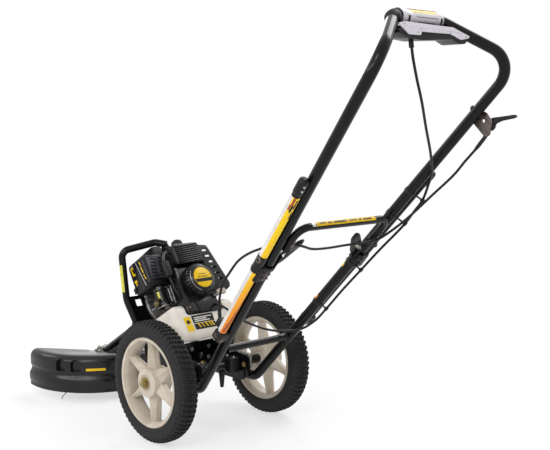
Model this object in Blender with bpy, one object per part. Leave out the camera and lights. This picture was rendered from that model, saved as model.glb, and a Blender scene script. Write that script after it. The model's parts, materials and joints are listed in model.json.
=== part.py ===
"""Wheeled petrol string trimmer mower, as an assembly of separate pieces.

Metres, +Y forward, +X to the operator's right, +Z up. The origin is on the ground, on the axis of
the trimmer head. The engine is built in its own frame: +Y runs forward and down along the crank
and drive shaft, +Z stands square to it, and the origin is on the crank axis at the rear face of the
starter.
"""
import math

import bmesh
import bpy
from mathutils import Matrix, Vector

# Fits and walls
GAP = 0.0003
RUNNING = 0.0005
TUBE_SIDES = 12

# Wheels and axle
WHEEL_RADIUS = 0.155
TYRE_WIDTH = 0.055
RIM_RADIUS = 0.1145
RIM_HALF_WIDTH = 0.023
TRACK = 0.377
HUB_HALF_LENGTH = 0.029
HUB_RADIUS = 0.022
HUB_FLANGE_RADIUS = 0.038
HUB_FACE = 0.021
RIM_LIP = 0.0085
AXLE_TO_HEAD = 0.565
AXLE_RADIUS = 0.007
AXLE_TUBE_RADIUS = 0.012
NUT_RADIUS = 0.011
NUT_LENGTH = 0.010
SPOKES = 6
SPOKE_AT_HUB = (0.0190, 0.019)
SPOKE_AT_RIM = (0.0050, 0.014)
SPOKE_LEAN = {"left": math.radians(3), "right": math.radians(10.5)}
ROUND_STEPS = 32

# Handle and chassis tubes; the legs lie in one plane that leans back
TUBE_RADIUS = 0.0125
TUBE_WALL = 0.0012
LEG_HALF_WIDTH = 0.0736
LEG_SPLAY = 0.1555
LEG_FOOT_Y = -0.5165
LEG_LEAN = 0.8765
HINGE_HEIGHT = 0.508
LOWER_RUN_HEIGHT = 0.129
LOWER_RUN_END = -0.410
LOWER_BEND = 0.035
UPPER_CROSS_HEIGHT = 0.254
UPPER_CROSS_RADIUS = 0.009
HANDLE_CORNER_HEIGHT = 0.935
HANDLE_CORNER_BEND = 0.060
HANDLE_TOP = (0.075, -1.238, 1.018)
HANDLE_TOP_BEND = 0.035
TUBE_END = 0.013
PLATE_THICKNESS = 0.0048
LOWER_TUBE_START = 0.024
PIN_RADIUS = 0.003

# Struts beside the legs
STRUT_RADIUS = 0.0105
STRUT_FOOT_OFFSET = (0.0265, 0.006)
STRUT_TOP_OFFSET = (0.0247, 0.001)
STRUT_BOTTOM = 0.300
STRUT_TOP = 0.680
STRUT_CAP_LENGTH = 0.040
STRUT_CAP_OVER = 0.017
CAP_WALL = 0.0007
SLEEVE_WALL = 0.0010
CLAMP = (-0.065, 0.012)
CLAMP_BAND_TOP = -0.0195
FOOT_LENGTH = 0.030

# Shaft line, engine tilt and gearbox
SHAFT_TILT = math.radians(31)
GEAR_HEIGHT = 0.0794
SHAFT_LENGTH = 0.609
DRIVE_TUBE_RADIUS = 0.013
DRIVE_TUBE_BORE = 0.010
DRIVE_SHAFT_RADIUS = 0.004

# Engine, in the engine's own frame
CRANKCASE_RADIUS = 0.046
CRANKCASE_Y = (0.080, 0.150)
SIDE_SEAT = CRANKCASE_RADIUS + GAP
PLATE_Y = (0.2003, 0.2053)
STARTER_RADIUS = 0.046
SHROUD = ((-0.060, 0.0285, -0.084), (0.044, 0.0695, 0.050))
COVER = ((-0.046, 0.014, 0.0505), (0.0445, 0.150, 0.116))
GUARD_Y = (0.030, 0.120)
GUARD_OUTLINE = ((SIDE_SEAT, 0.108), (0.0754, 0.104), (0.0794, 0.097), (0.112, -0.015), (0.1077, -0.026),
                 (0.096, -0.032), (SIDE_SEAT, -0.035))
STARTER_HANDLE = (0.044, 0.0185, -0.040)
MUFFLER = ((SIDE_SEAT, 0.042, -0.022), (0.080, 0.108, 0.072))
COVER_WALL = 0.003
COVER_ROUND = 0.010
TANK = ((-0.104, 0.034, -0.151), (0.104, PLATE_Y[0] - GAP, -0.0525))
TANK_CHANNEL = (0.0635, -0.0865)
TANK_WALL = 0.003
CARB = ((-0.100, 0.070, -0.038), (-0.0465, 0.112, 0.0185))
FILTER = ((-0.116, 0.070, 0.019), (-0.0465, 0.150, 0.111))
CLUTCH_Y = (0.1505, 0.200)
CLUTCH_FLANGE_RADIUS = 0.074
FLYWHEEL_RADIUS = 0.036
FLYWHEEL_Y = (0.042, 0.064)
DRUM_RADIUS = 0.030
DRUM_Y = (0.160, 0.184)
PRIMER_RADIUS = 0.009
PRIMER_TRAVEL = 0.004
MOUNT_HALF_WIDTH = 0.120
MOUNT_Z = (-0.100, 0.0145)
CRANK_RADIUS = 0.006

# Deck and trimmer head
DECK_RADIUS = 0.217
DECK_CREST = 0.134
DECK_MIDDLE = 0.106
DECK_LIP = 0.026
DECK_WALL = 0.0035
DECK_SWEEP = math.radians(200)
DECK_STEPS = 24
GEARBOX_RADIUS = 0.028
GEAR_SOCKET_RADIUS = 0.016
GEARBOX_Z = (0.050, 0.098)
HEAD_RADIUS = 0.052
HEAD_Z = (0.008, 0.040)
GLIDE_RADIUS = 0.030
SPINDLE_RADIUS = 0.006
BEVEL_RADIUS = 0.0185
LINE_RADIUS = 0.00135
LINE_HEIGHT = 0.024
LINE_REACH = 0.205
LINE_ANGLE = math.radians(26.8)

# Console on the middle of the handle
GRIP_RADIUS = 0.018
GRIP_ENDS = (-0.065, 0.068)
CABLE_RADIUS = 0.003
BRACE_RADIUS = 0.009
BRACE_FOOT_ABOVE_HINGE = 0.028
BRACE_RISE = 0.054
BRACE_BEND = 0.030
HOOK_REACH = 0.050
HOOK_THICKNESS = 0.003


def material(name, hex_colour, roughness, metallic=0.0):
    """One Principled material, with its colour given as sRGB hex."""
    found = bpy.data.materials.get(name)
    if found:
        return found
    mat = bpy.data.materials.new(name)
    mat.use_nodes = True
    shader = mat.node_tree.nodes["Principled BSDF"]
    channels = [int(hex_colour[i:i + 2], 16) / 255 for i in (0, 2, 4)]
    linear = [((c + 0.055) / 1.055) ** 2.4 if c > 0.04 else c / 12.92 for c in channels]
    shader.inputs["Base Color"].default_value = (*linear, 1.0)
    shader.inputs["Roughness"].default_value = roughness
    shader.inputs["Metallic"].default_value = metallic
    mat.diffuse_color = (*linear, 1.0)
    return mat


def black_paint():
    return material("black_paint", "161618", 0.3)


def black_plastic():
    return material("black_plastic", "1b1b1c", 0.5)


def steel():
    return material("zinc_steel", "a8a496", 0.35, 0.9)


def aluminium():
    return material("cast_aluminium", "8d8d8a", 0.5, 0.8)


def rubber():
    return material("rubber", "19191a", 0.8)


def wheel_plastic():
    return material("wheel_plastic", "a79c8b", 0.55)


def strut_paint():
    return material("strut_paint", "e0b23a", 0.35)


def grey_plastic():
    return material("grey_plastic", "b9bac2", 0.4)


def tank_plastic():
    return material("tank_plastic", "dcdbd6", 0.45)


def place(name, bm, mat, origin=(0, 0, 0), parent=None, angle=40):
    """Link the mesh as one object, whose own origin is at the given point of its frame."""
    bmesh.ops.remove_doubles(bm, verts=bm.verts, dist=1e-6)
    bmesh.ops.recalc_face_normals(bm, faces=bm.faces)
    bmesh.ops.translate(bm, verts=bm.verts, vec=-Vector(origin))
    mesh = bpy.data.meshes.new(name)
    bm.to_mesh(mesh)
    bm.free()
    mesh.materials.append(mat)
    mesh.shade_smooth()
    mesh.set_sharp_from_angle(angle=math.radians(angle))
    obj = bpy.data.objects.new(name, mesh)
    bpy.context.scene.collection.objects.link(obj)
    obj.location = origin
    obj.parent = parent
    return obj


def hide_tool(obj):
    obj.hide_render = True
    obj.display_type = "WIRE"
    return obj


def combine(obj, tools, operation):
    """Join or cut the object with each tool, in turn."""
    for tool in tools:
        modifier = obj.modifiers.new(tool.name, "BOOLEAN")
        modifier.operation = operation
        modifier.solver = "EXACT"
        modifier.object = hide_tool(tool)
    return obj


def box_mesh(low, high, bevel=0.0, segments=2, mouth=None):
    """A box with rounded edges, except round the side that the mouth vector points to."""
    bm = bmesh.new()
    size = Vector(high) - Vector(low)
    centre = (Vector(high) + Vector(low)) / 2
    bmesh.ops.create_cube(bm, size=1, matrix=Matrix.Translation(centre) @ Matrix.Diagonal((*size, 1)))
    if bevel:
        edges = bm.edges[:]
        if mouth:
            way = Vector(mouth)
            edges = [e for e in edges if any((v.co - centre).dot(way) < 0 for v in e.verts)]
        bmesh.ops.bevel(bm, geom=edges, offset=bevel, segments=segments, profile=0.5,
                        affect="EDGES", clamp_overlap=True)
    return bm


def turned_mesh(profile, axis="Z", centre=(0, 0, 0), steps=24, start=0.0, sweep=2 * math.pi):
    """Turn a closed outline of (radius, along) points about an axis."""
    closed = abs(sweep - 2 * math.pi) < 1e-9
    bm = bmesh.new()
    count = steps if closed else steps + 1
    rings = []
    for i in range(count):
        angle = start + sweep * i / steps
        ring = []
        for radius, along in profile:
            a, b = radius * math.cos(angle), radius * math.sin(angle)
            point = {"Z": (a, b, along), "Y": (a, along, b), "X": (along, a, b)}[axis]
            ring.append(bm.verts.new(Vector(point) + Vector(centre)))
        rings.append(ring)
    last = len(profile)
    for i in range(steps):
        first, second = rings[i], rings[(i + 1) % count]
        for j in range(last):
            k = (j + 1) % last
            if profile[j][0] == 0 and profile[k][0] == 0:
                continue
            corners = [first[j], second[j], second[k], first[k]]
            if profile[j][0] == 0:
                corners = [first[j], second[k], first[k]]
            if profile[k][0] == 0:
                corners = [first[j], second[j], first[k]]
            bm.faces.new(corners)
    if not closed:
        bm.faces.new(rings[0])
        bm.faces.new(rings[-1][::-1])
    return bm


def rod_mesh(start, end, radius, steps=12):
    """A plain round rod between two points."""
    start, end = Vector(start), Vector(end)
    bm = bmesh.new()
    turn = (end - start).to_track_quat("Z", "Y").to_matrix().to_4x4()
    move = Matrix.Translation((start + end) / 2) @ turn
    bmesh.ops.create_cone(bm, cap_ends=True, segments=steps, radius1=radius, radius2=radius,
                          depth=(end - start).length, matrix=move)
    return bm


def plate_mesh(outline, low, high, axis="X"):
    """A flat plate: an outline in the other two axes, from low to high along one."""
    bm = bmesh.new()
    sides = []
    for level in (low, high):
        side = []
        for a, b in outline:
            point = {"X": (level, a, b), "Y": (a, level, b), "Z": (a, b, level)}[axis]
            side.append(bm.verts.new(point))
        sides.append(side)
    bm.faces.new(sides[0])
    bm.faces.new(sides[1][::-1])
    for i in range(len(outline)):
        j = (i + 1) % len(outline)
        bm.faces.new((sides[0][i], sides[1][i], sides[1][j], sides[0][j]))
    return bm


def filleted(points, bends, steps=6):
    """A path through the corner points, with each corner rounded to its bend radius."""
    points = [Vector(p) for p in points]
    path = [points[0]]
    for i, bend in enumerate(bends, start=1):
        corner = points[i]
        back = (points[i - 1] - corner).normalized()
        ahead = (points[i + 1] - corner).normalized()
        half = back.angle(ahead) / 2
        reach = bend / math.tan(half)
        centre = corner + (back + ahead).normalized() * bend / math.sin(half)
        first = corner + back * reach - centre
        turn = first.rotation_difference(corner + ahead * reach - centre)
        for k in range(steps + 1):
            step = turn.copy()
            step.angle = turn.angle * k / steps
            path.append(centre + step @ first)
    path.append(points[-1])
    return path


def swept_mesh(path, radius, sides=TUBE_SIDES, bore=0.0):
    """A round bar along the path, or a tube with open ends where a bore is given."""
    tangents = []
    for i, point in enumerate(path):
        before = (point - path[i - 1]).normalized() if i else Vector()
        after = (path[i + 1] - point).normalized() if i + 1 < len(path) else Vector()
        tangents.append((before + after).normalized())
    normal = tangents[0].orthogonal().normalized()
    bm = bmesh.new()
    rings = []
    for i, point in enumerate(path):
        if i:
            normal = tangents[i - 1].rotation_difference(tangents[i]) @ normal
        across = tangents[i].cross(normal)
        ring = []
        for r in (radius, bore) if bore else (radius,):
            for k in range(sides):
                angle = 2 * math.pi * k / sides
                spot = normal * math.cos(angle) + across * math.sin(angle)
                ring.append(bm.verts.new(point + spot * r))
        rings.append(ring)
    for first, second in zip(rings, rings[1:]):
        for layer in range(len(first) // sides):
            for k in range(sides):
                a = layer * sides + k
                b = layer * sides + (k + 1) % sides
                bm.faces.new((first[a], first[b], second[b], second[a]))
    for ring in (rings[0], rings[-1]):
        if not bore:
            bm.faces.new(ring)
            continue
        for k in range(sides):
            n = (k + 1) % sides
            bm.faces.new((ring[k], ring[n], ring[sides + n], ring[sides + k]))
    return bm


def cable(name, route, radius, mat, resolution=2, spacing=0.0155):
    """A cable on one smooth curve through the points of its route."""
    points = [Vector(p) for p in route]
    ends = [2 * points[0] - points[1]] + points + [2 * points[-1] - points[-2]]
    smooth = [points[0]]
    for a, b, c, d in zip(ends, ends[1:], ends[2:], ends[3:]):
        count = max(1, round((c - b).length / spacing))
        for k in range(1, count + 1):
            t = k / count
            smooth.append(0.5 * (2 * b + (c - a) * t + (2 * a - 5 * b + 4 * c - d) * t ** 2
                                 + (3 * b - a - 3 * c + d) * t ** 3))
    curve = bpy.data.curves.new(name, "CURVE")
    curve.dimensions = "3D"
    curve.bevel_depth = radius
    curve.bevel_resolution = resolution
    curve.use_fill_caps = True
    spline = curve.splines.new("POLY")
    spline.points.add(len(smooth) - 1)
    for spot, point in zip(spline.points, smooth):
        spot.co = (*point, 1)
    curve.materials.append(mat)
    obj = bpy.data.objects.new(name, curve)
    bpy.context.scene.collection.objects.link(obj)
    return obj


def leg_point(side, height):
    """A point on the axis of a handle leg; side is -1 for the left and 1 for the right."""
    return Vector((side * (LEG_HALF_WIDTH + LEG_SPLAY * height), LEG_FOOT_Y - LEG_LEAN * height, height))


def leg_up():
    """The leg plane's steepest way up."""
    return Vector((0, -LEG_LEAN, 1)).normalized()


def leg_front():
    """The leg plane's normal, which points forward and up."""
    return Vector((0, 1, LEG_LEAN)).normalized()


def leg_along(side):
    return (leg_point(side, 1) - leg_point(side, 0)).normalized()


def strut_point(side, height):
    """A point on the strut's axis, which closes in on the leg a little towards the top."""
    rise = (height - STRUT_BOTTOM) / (STRUT_TOP - STRUT_BOTTOM)
    out, forward = (a + (b - a) * rise for a, b in zip(STRUT_FOOT_OFFSET, STRUT_TOP_OFFSET))
    return leg_point(side, height) + Vector((side * out, 0, 0)) + leg_front() * forward


def build_wheel(side, label):
    """A moulded six-spoke wheel and its tyre, both on the axle's axis."""
    centre = Vector((side * TRACK / 2, -AXLE_TO_HEAD, WHEEL_RADIUS))
    lip = 0.006
    well = RIM_RADIUS - 0.0065
    inner = RIM_RADIUS - RIM_LIP
    barrel = inner - 0.005
    bore = AXLE_RADIUS + GAP
    edge = RIM_HALF_WIDTH
    profile = [(inner, -edge), (RIM_RADIUS, -edge), (RIM_RADIUS, lip - edge), (well, lip + 0.002 - edge),
               (well, edge - lip - 0.002), (RIM_RADIUS, edge - lip), (RIM_RADIUS, edge), (inner, edge),
               (barrel, edge - 0.011), (barrel, 0.011 - edge)]
    turned = [(r, centre.x + side * t) for r, t in profile]
    bm = turned_mesh(turned, "X", (0, centre.y, centre.z), ROUND_STEPS)
    wheel = place("wheel_" + label, bm, wheel_plastic(), centre)
    half = HUB_HALF_LENGTH
    drum = [(bore, -half), (HUB_RADIUS, -half), (HUB_RADIUS, -HUB_FACE), (HUB_FLANGE_RADIUS, -HUB_FACE),
            (HUB_FLANGE_RADIUS, HUB_FACE), (HUB_RADIUS, HUB_FACE), (HUB_RADIUS, half), (bore, half)]
    turned = [(r, centre.x + t) for r, t in drum]
    hub = place("hub_" + label, turned_mesh(turned, "X", (0, centre.y, centre.z), 20), wheel_plastic())
    spokes = place("spokes_" + label, spokes_mesh(centre, barrel + 0.002, SPOKE_LEAN[label]), wheel_plastic())
    combine(wheel, [hub, spokes], "UNION")

    edge = RIM_HALF_WIDTH - lip
    seat = well + GAP
    half = TYRE_WIDTH / 2
    above = RIM_RADIUS + 0.0005
    crown = WHEEL_RADIUS
    section = [(seat, edge - 0.0023), (above, edge - 0.0005), (above, RIM_HALF_WIDTH + 0.001),
               (above + 0.013, half), (above + 0.028, half - 0.0013), (crown - 0.0025, half - 0.0075),
               (crown, half - 0.0175)]
    outline = [(r, centre.x + t) for r, t in section]
    outline += [(r, centre.x - t) for r, t in reversed(section)]
    bm = turned_mesh(outline, "X", (0, centre.y, centre.z), ROUND_STEPS)
    place("tyre_" + label, bm, rubber(), centre)

    face = side * (TRACK / 2 + HUB_HALF_LENGTH + GAP)
    ends = [(face + side * t, centre.y, centre.z) for t in (-0.01, 0.0, NUT_LENGTH, NUT_LENGTH + 0.01)]
    nut = place("axle_nut_" + label, rod_mesh(ends[1], ends[2], NUT_RADIUS, 6), steel(), centre)
    thread = place("nut_thread_" + label, rod_mesh(ends[0], ends[3], AXLE_RADIUS + GAP, 16), steel())
    combine(nut, [thread], "DIFFERENCE")


def spokes_mesh(centre, reach, lean):
    """Tapering spokes with a ridge along both faces, wide at the hub and narrow at the rim."""
    bm = bmesh.new()
    start = HUB_FLANGE_RADIUS - 0.005
    for i in range(SPOKES):
        angle = math.pi / 2 - lean + 2 * math.pi * i / SPOKES
        way = Vector((0, math.cos(angle), math.sin(angle)))
        across = Vector((0, -math.sin(angle), math.cos(angle)))
        rings = []
        for r, (half, ridge) in ((start, SPOKE_AT_HUB), (reach, SPOKE_AT_RIM)):
            edge = 0.35 * ridge
            section = [(-ridge, 0), (-edge, half), (edge, half), (ridge, 0), (edge, -half), (-edge, -half)]
            rings.append([bm.verts.new(centre + way * r + across * b + Vector((a, 0, 0))) for a, b in section])
        count = len(rings[0])
        for k in range(count):
            n = (k + 1) % count
            bm.faces.new((rings[0][k], rings[0][n], rings[1][n], rings[1][k]))
        bm.faces.new(rings[0][::-1])
        bm.faces.new(rings[1])
    return bm


def build_axle():
    end = TRACK / 2 + HUB_HALF_LENGTH + NUT_LENGTH + 0.003
    centre = (0, -AXLE_TO_HEAD, WHEEL_RADIUS)
    bm = turned_mesh([(0, -end), (AXLE_RADIUS, -end), (AXLE_RADIUS, end), (0, end)], "X", centre, 16)
    place("axle", bm, steel(), centre)


def build_chassis(engine):
    """The lower frame: two bent leg tubes, their cross tube, and the plates for axle and engine."""
    start = LOWER_TUBE_START / (leg_point(1, 1) - leg_point(1, 0)).length
    bore = TUBE_RADIUS - TUBE_WALL
    for side, label in ((-1, "left"), (1, "right")):
        corner = leg_point(side, LOWER_RUN_HEIGHT)
        front = Vector((corner.x, LOWER_RUN_END, LOWER_RUN_HEIGHT))
        path = filleted([leg_point(side, HINGE_HEIGHT - start), corner, front], [LOWER_BEND])
        place("chassis_tube_" + label, swept_mesh(path, TUBE_RADIUS, bore=bore), black_paint())

    end = leg_point(1, UPPER_CROSS_HEIGHT)
    lean_in = LEG_SPLAY * leg_up().z
    reach = end.x - TUBE_RADIUS / math.cos(math.atan(lean_in)) - UPPER_CROSS_RADIUS * lean_in - GAP
    path = [Vector((-reach, end.y, end.z)), Vector((reach, end.y, end.z))]
    bm = swept_mesh(path, UPPER_CROSS_RADIUS, bore=UPPER_CROSS_RADIUS - TUBE_WALL)
    place("upper_cross_tube", bm, black_paint())

    axle_y = -AXLE_TO_HEAD
    low = leg_point(1, LOWER_RUN_HEIGHT).x - TUBE_RADIUS - GAP - PLATE_THICKNESS
    high = low + PLATE_THICKNESS
    arm_y, arm_z = engine_point(PLATE_Y[0], MOUNT_Z[0])
    base = LOWER_RUN_HEIGHT - 0.016
    shelf = LOWER_RUN_HEIGHT + 0.021
    top = WHEEL_RADIUS + 0.033
    outline = [(axle_y - 0.030, base), (LOWER_RUN_END, base), (arm_y + 0.0268, shelf),
               (arm_y + 0.0498, arm_z + 0.0358), (arm_y + 0.0198, arm_z + 0.0308), (arm_y - 0.0012, shelf),
               (axle_y + 0.065, shelf + 0.005), (axle_y, top), (axle_y - 0.055, top - 0.003),
               (axle_y - 0.058, WHEEL_RADIUS - 0.020)]
    plate = place("chassis_plate", plate_mesh(outline, low, high), black_paint())
    other = place("plate_left", plate_mesh(outline, -high, -low), black_paint())
    tube_end = TRACK / 2 - HUB_HALF_LENGTH - GAP
    centre = (0, axle_y, WHEEL_RADIUS)
    tube = place("axle_tube", rod_mesh((-tube_end, *centre[1:]), (tube_end, *centre[1:]),
                                       AXLE_TUBE_RADIUS), black_paint())
    bottom = (-MOUNT_HALF_WIDTH, PLATE_Y[0], MOUNT_Z[0])
    top = (MOUNT_HALF_WIDTH, PLATE_Y[1], MOUNT_Z[1])
    mount = place("mount_plate", box_mesh(bottom, top), black_paint(), parent=engine)
    hole = place("shaft_hole", rod_mesh((0, 0.19, 0), (0, 0.22, 0), 0.021), steel(), parent=engine)
    bore = place("axle_bore", rod_mesh((-0.2, *centre[1:]), (0.2, *centre[1:]), AXLE_RADIUS + GAP, 16),
                 steel())
    combine(plate, [other, tube, mount], "UNION")
    combine(plate, [hole, bore], "DIFFERENCE")

    under = WHEEL_RADIUS - AXLE_TUBE_RADIUS - GAP
    bm = turned_mesh([(0, under - 0.045), (0.0045, under - 0.045), (0.0085, under - 0.008), (0.0085, under),
                      (0, under)], "Z", (0.030, axle_y, 0), 12)
    place("parking_peg", bm, rubber())


def build_struts():
    """A bright strut beside each leg, with its top cap, hinge clamp, foot and cable hook."""
    for side, label in ((-1, "left"), (1, "right")):
        along = (strut_point(side, STRUT_TOP) - strut_point(side, STRUT_BOTTOM)).normalized()
        low = strut_point(side, STRUT_BOTTOM)
        high = strut_point(side, STRUT_TOP)
        bm = swept_mesh([low, high], STRUT_RADIUS, bore=STRUT_RADIUS - TUBE_WALL)
        place("strut_" + label, bm, strut_paint())
        socket = STRUT_RADIUS + 2 * GAP

        base = high - along * (STRUT_CAP_LENGTH - STRUT_CAP_OVER)
        tip = high + along * STRUT_CAP_OVER
        cap = place("strut_cap_" + label, rod_mesh(base, tip, socket + CAP_WALL, 16), black_plastic())
        inside = place("cap_socket_" + label, rod_mesh(base - along * 0.01, high + along * GAP, socket, 16),
                       steel())
        combine(cap, [inside], "DIFFERENCE")
        build_clamp(side, label, along, socket)

        foot = place("strut_foot_" + label, foot_mesh(side), black_plastic())
        leg = leg_point(side, STRUT_BOTTOM)
        leg_cut = place("foot_leg_cut_" + label, rod_mesh(leg - leg_along(side) * 0.05,
                                                          leg + leg_along(side) * 0.05,
                                                          TUBE_RADIUS + GAP, 16), steel())
        strut_cut = place("foot_strut_cut_" + label, rod_mesh(low - along * GAP, low + along * 0.05,
                                                              socket, 16), steel())
        if side < 0:
            tab = place("cable_stop", cable_stop_mesh(side), black_plastic())
            combine(foot, [tab], "UNION")
        combine(foot, [leg_cut, strut_cut], "DIFFERENCE")


def build_clamp(side, label, along, socket):
    """The clamp that holds strut and leg together, with the hinge pin and the cable hook inside."""
    pivot = leg_point(side, HINGE_HEIGHT)
    centre = strut_point(side, HINGE_HEIGHT)
    low, high = CLAMP
    outer = socket + SLEEVE_WALL
    clamp = place("hinge_clamp_" + label, rod_mesh(centre + along * low, centre + along * high, outer, 16),
                  black_plastic())
    half = TUBE_RADIUS + GAP + SLEEVE_WALL
    band_low = (-half, low, -half)
    band_high = (STRUT_TOP_OFFSET[0], CLAMP_BAND_TOP, half)
    band = place("clamp_band_" + label, in_leg_frame(box_mesh(band_low, band_high, 0.004, 1), side, pivot),
                 black_plastic())
    reach = leg_along(side) * 0.1
    leg_bore = place("clamp_leg_bore_" + label, rod_mesh(pivot - reach, pivot + reach, TUBE_RADIUS + GAP, 16),
                     steel())
    strut_bore = place("clamp_bore_" + label, rod_mesh(centre - along * 0.09, centre + along * 0.03, socket, 16),
                       steel())
    inner_end = pivot.x - side * (TUBE_RADIUS + 0.0085)
    outer_end = centre.x - side * (socket + SLEEVE_WALL / 2)
    pin = place("hinge_pin_" + label, rod_mesh((inner_end, pivot.y, pivot.z), (outer_end, pivot.y, pivot.z),
                                               PIN_RADIUS, 12), steel())
    combine(clamp, [band], "UNION")
    combine(clamp, [leg_bore, strut_bore], "DIFFERENCE")
    combine(clamp, [pin], "UNION")

    ear = place("cable_hook_" + label, hook_ear_mesh(side, pivot), black_paint())
    wing = place("hook_wing_" + label, hook_wing_mesh(side, pivot), black_paint())
    eye = place("hook_eye_" + label, rod_mesh((inner_end - side * 0.01, pivot.y, pivot.z),
                                              (pivot.x, pivot.y, pivot.z), PIN_RADIUS + GAP), steel())
    combine(ear, [wing], "UNION")
    combine(ear, [eye], "DIFFERENCE")


def in_leg_frame(bm, side, origin):
    """Turn a mesh drawn as (out, up the leg plane, forward of it) into place at the origin."""
    basis = Matrix((Vector((side, 0, 0)), leg_up(), leg_front())).transposed().to_4x4()
    bmesh.ops.transform(bm, matrix=Matrix.Translation(origin) @ basis, verts=bm.verts)
    return bm


def foot_mesh(side):
    low = (0.004, -FOOT_LENGTH / 2, -0.008)
    high = (STRUT_FOOT_OFFSET[0] + STRUT_RADIUS + 0.003, FOOT_LENGTH / 2, 0.0195)
    return in_leg_frame(box_mesh(low, high, 0.003, 1), side, leg_point(side, STRUT_BOTTOM))


def cable_stop_mesh(side):
    low = (-0.006, -0.010, TUBE_RADIUS + 0.001)
    high = (0.012, 0.010, 0.048)
    return in_leg_frame(box_mesh(low, high), side, leg_point(side, STRUT_BOTTOM))


def hook_ear_mesh(side, pivot):
    low = (-TUBE_RADIUS - 0.008, -0.036, -0.010)
    high = (-TUBE_RADIUS - 0.005, 0.014, 0.010)
    return in_leg_frame(box_mesh(low, high), side, pivot)


def hook_wing_mesh(side, pivot):
    root = -TUBE_RADIUS - 0.0065
    outline = [(root, -0.030), (root, 0.012), (root - HOOK_REACH, 0.052), (root - HOOK_REACH, 0.040)]
    bm = plate_mesh(outline, -HOOK_THICKNESS / 2, HOOK_THICKNESS / 2, "Z")
    return in_leg_frame(bm, side, pivot)


def handle_path():
    end = TUBE_END / (leg_point(1, 1) - leg_point(1, 0)).length
    top = Vector(HANDLE_TOP)
    right = [leg_point(1, HINGE_HEIGHT - end), leg_point(1, HANDLE_CORNER_HEIGHT), top]
    left = [Vector((-p.x, p.y, p.z)) for p in right]
    bends = [HANDLE_CORNER_BEND, HANDLE_TOP_BEND, HANDLE_TOP_BEND, HANDLE_CORNER_BEND]
    return filleted(left + right[::-1], bends)


def build_handle():
    """The upper handle: one bent tube hinged on the pins, its brace, console and throttle bracket."""
    pivot = leg_point(1, HINGE_HEIGHT)
    origin = (0, pivot.y, pivot.z)
    bm = swept_mesh(handle_path(), TUBE_RADIUS, bore=TUBE_RADIUS - TUBE_WALL)
    loop = place("handle_loop", bm, black_paint(), origin)
    holes = place("pin_holes", rod_mesh((-0.3, *origin[1:]), (0.3, *origin[1:]), PIN_RADIUS + GAP), steel())
    combine(loop, [holes], "DIFFERENCE")

    radius = BRACE_RADIUS
    aside = math.sqrt((TUBE_RADIUS + radius + GAP) ** 2 - TUBE_RADIUS ** 2)
    foot_height = HINGE_HEIGHT + BRACE_FOOT_ABOVE_HINGE
    feet = []
    corners = []
    for side in (-1, 1):
        off = -Vector((side * aside, 0, 0)) - leg_front() * TUBE_RADIUS
        feet.append(leg_point(side, foot_height) + off)
        corners.append(leg_point(side, foot_height + BRACE_RISE) + off)
    path = filleted([feet[0], *corners, feet[1]], [BRACE_BEND, BRACE_BEND], 5)
    place("cross_brace", swept_mesh(path, radius, 10, radius - TUBE_WALL), black_paint(), origin)
    build_console(origin)
    build_throttle(origin)


def build_console(origin):
    """Squeeze grip round the middle of the handle, with the control box behind and below it."""
    y, z = HANDLE_TOP[1:]
    inner = TUBE_RADIUS + 0.0012
    low, high = GRIP_ENDS
    profile = [(inner, low), (GRIP_RADIUS, low), (GRIP_RADIUS, high), (inner, high)]
    opening = math.radians(110)
    bm = turned_mesh(profile, "X", (0, y, z), 20, math.radians(-90) + opening / 2, 2 * math.pi - opening)
    place("presence_grip", bm, grey_plastic(), (0, y, z))

    top = z - GRIP_RADIUS - 0.0035
    back = y - 0.0445
    outline = [(-0.060, top), (0.060, top), (0.085, top - 0.003), (0.105, top - 0.0125), (0.112, top - 0.019),
               (0.105, top - 0.027), (0.086, top - 0.0285), (0.063, top - 0.020), (-0.038, top - 0.0265),
               (-0.081, top - 0.0235), (-0.107, top - 0.014), (-0.085, top - 0.003)]
    body = place("console_body", plate_mesh(outline, back, y + 0.004, "Y"), black_plastic(), origin)
    saddle = place("console_saddle", box_mesh((-0.020, y - 0.004, top - 0.004),
                                              (0.020, y + 0.003, z - TUBE_RADIUS - GAP)), black_plastic())
    combine(body, [saddle], "UNION")
    outline = [(-0.112, z - 0.019), (-0.095, z - 0.012), (0.058, z - 0.013), (0.106, z - 0.029),
               (0.112, z - 0.030), (0.110, z - 0.035), (0.085, z - 0.039), (0.0505, z - 0.029),
               (-0.0446, z - 0.030), (-0.0463, z - 0.037), (-0.081, z - 0.037), (-0.108, z - 0.022)]
    face = back - GAP
    place("console_plate", plate_mesh(outline, face - 0.004, face, "Y"), grey_plastic(), origin)


def build_throttle(origin):
    """Bracket on the right leg and the lever that pulls the throttle cable."""
    at = leg_point(1, 0.81)
    face = leg_point(1, 0.831).x + TUBE_RADIUS + GAP
    outline = [(at.y - 0.017, at.z + 0.021), (at.y + 0.004, at.z - 0.003), (at.y - 0.033, at.z - 0.036),
               (at.y - 0.045, at.z - 0.021)]
    place("throttle_bracket", plate_mesh(outline, face, face + 0.002), steel(), origin)
    pivot = Vector((face + 0.002 + GAP, at.y - 0.036, at.z - 0.010))
    hub = place("throttle_lever", rod_mesh(pivot, pivot + Vector((0.006, 0, 0)), 0.012, 16),
                black_plastic(), pivot)
    tip = Vector((0, -0.073, 0.019))
    across = Vector((0, 0.019, 0.073)).normalized() * 0.004
    spots = [across * 1.4, tip + across * 0.5, tip - across * 0.5, -across * 1.4]
    outline = [(pivot.y + s.y, pivot.z + s.z) for s in spots]
    arm = place("lever_arm", plate_mesh(outline, pivot.x + 0.001, pivot.x + 0.005), black_plastic())
    combine(hub, [arm], "UNION")


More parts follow.
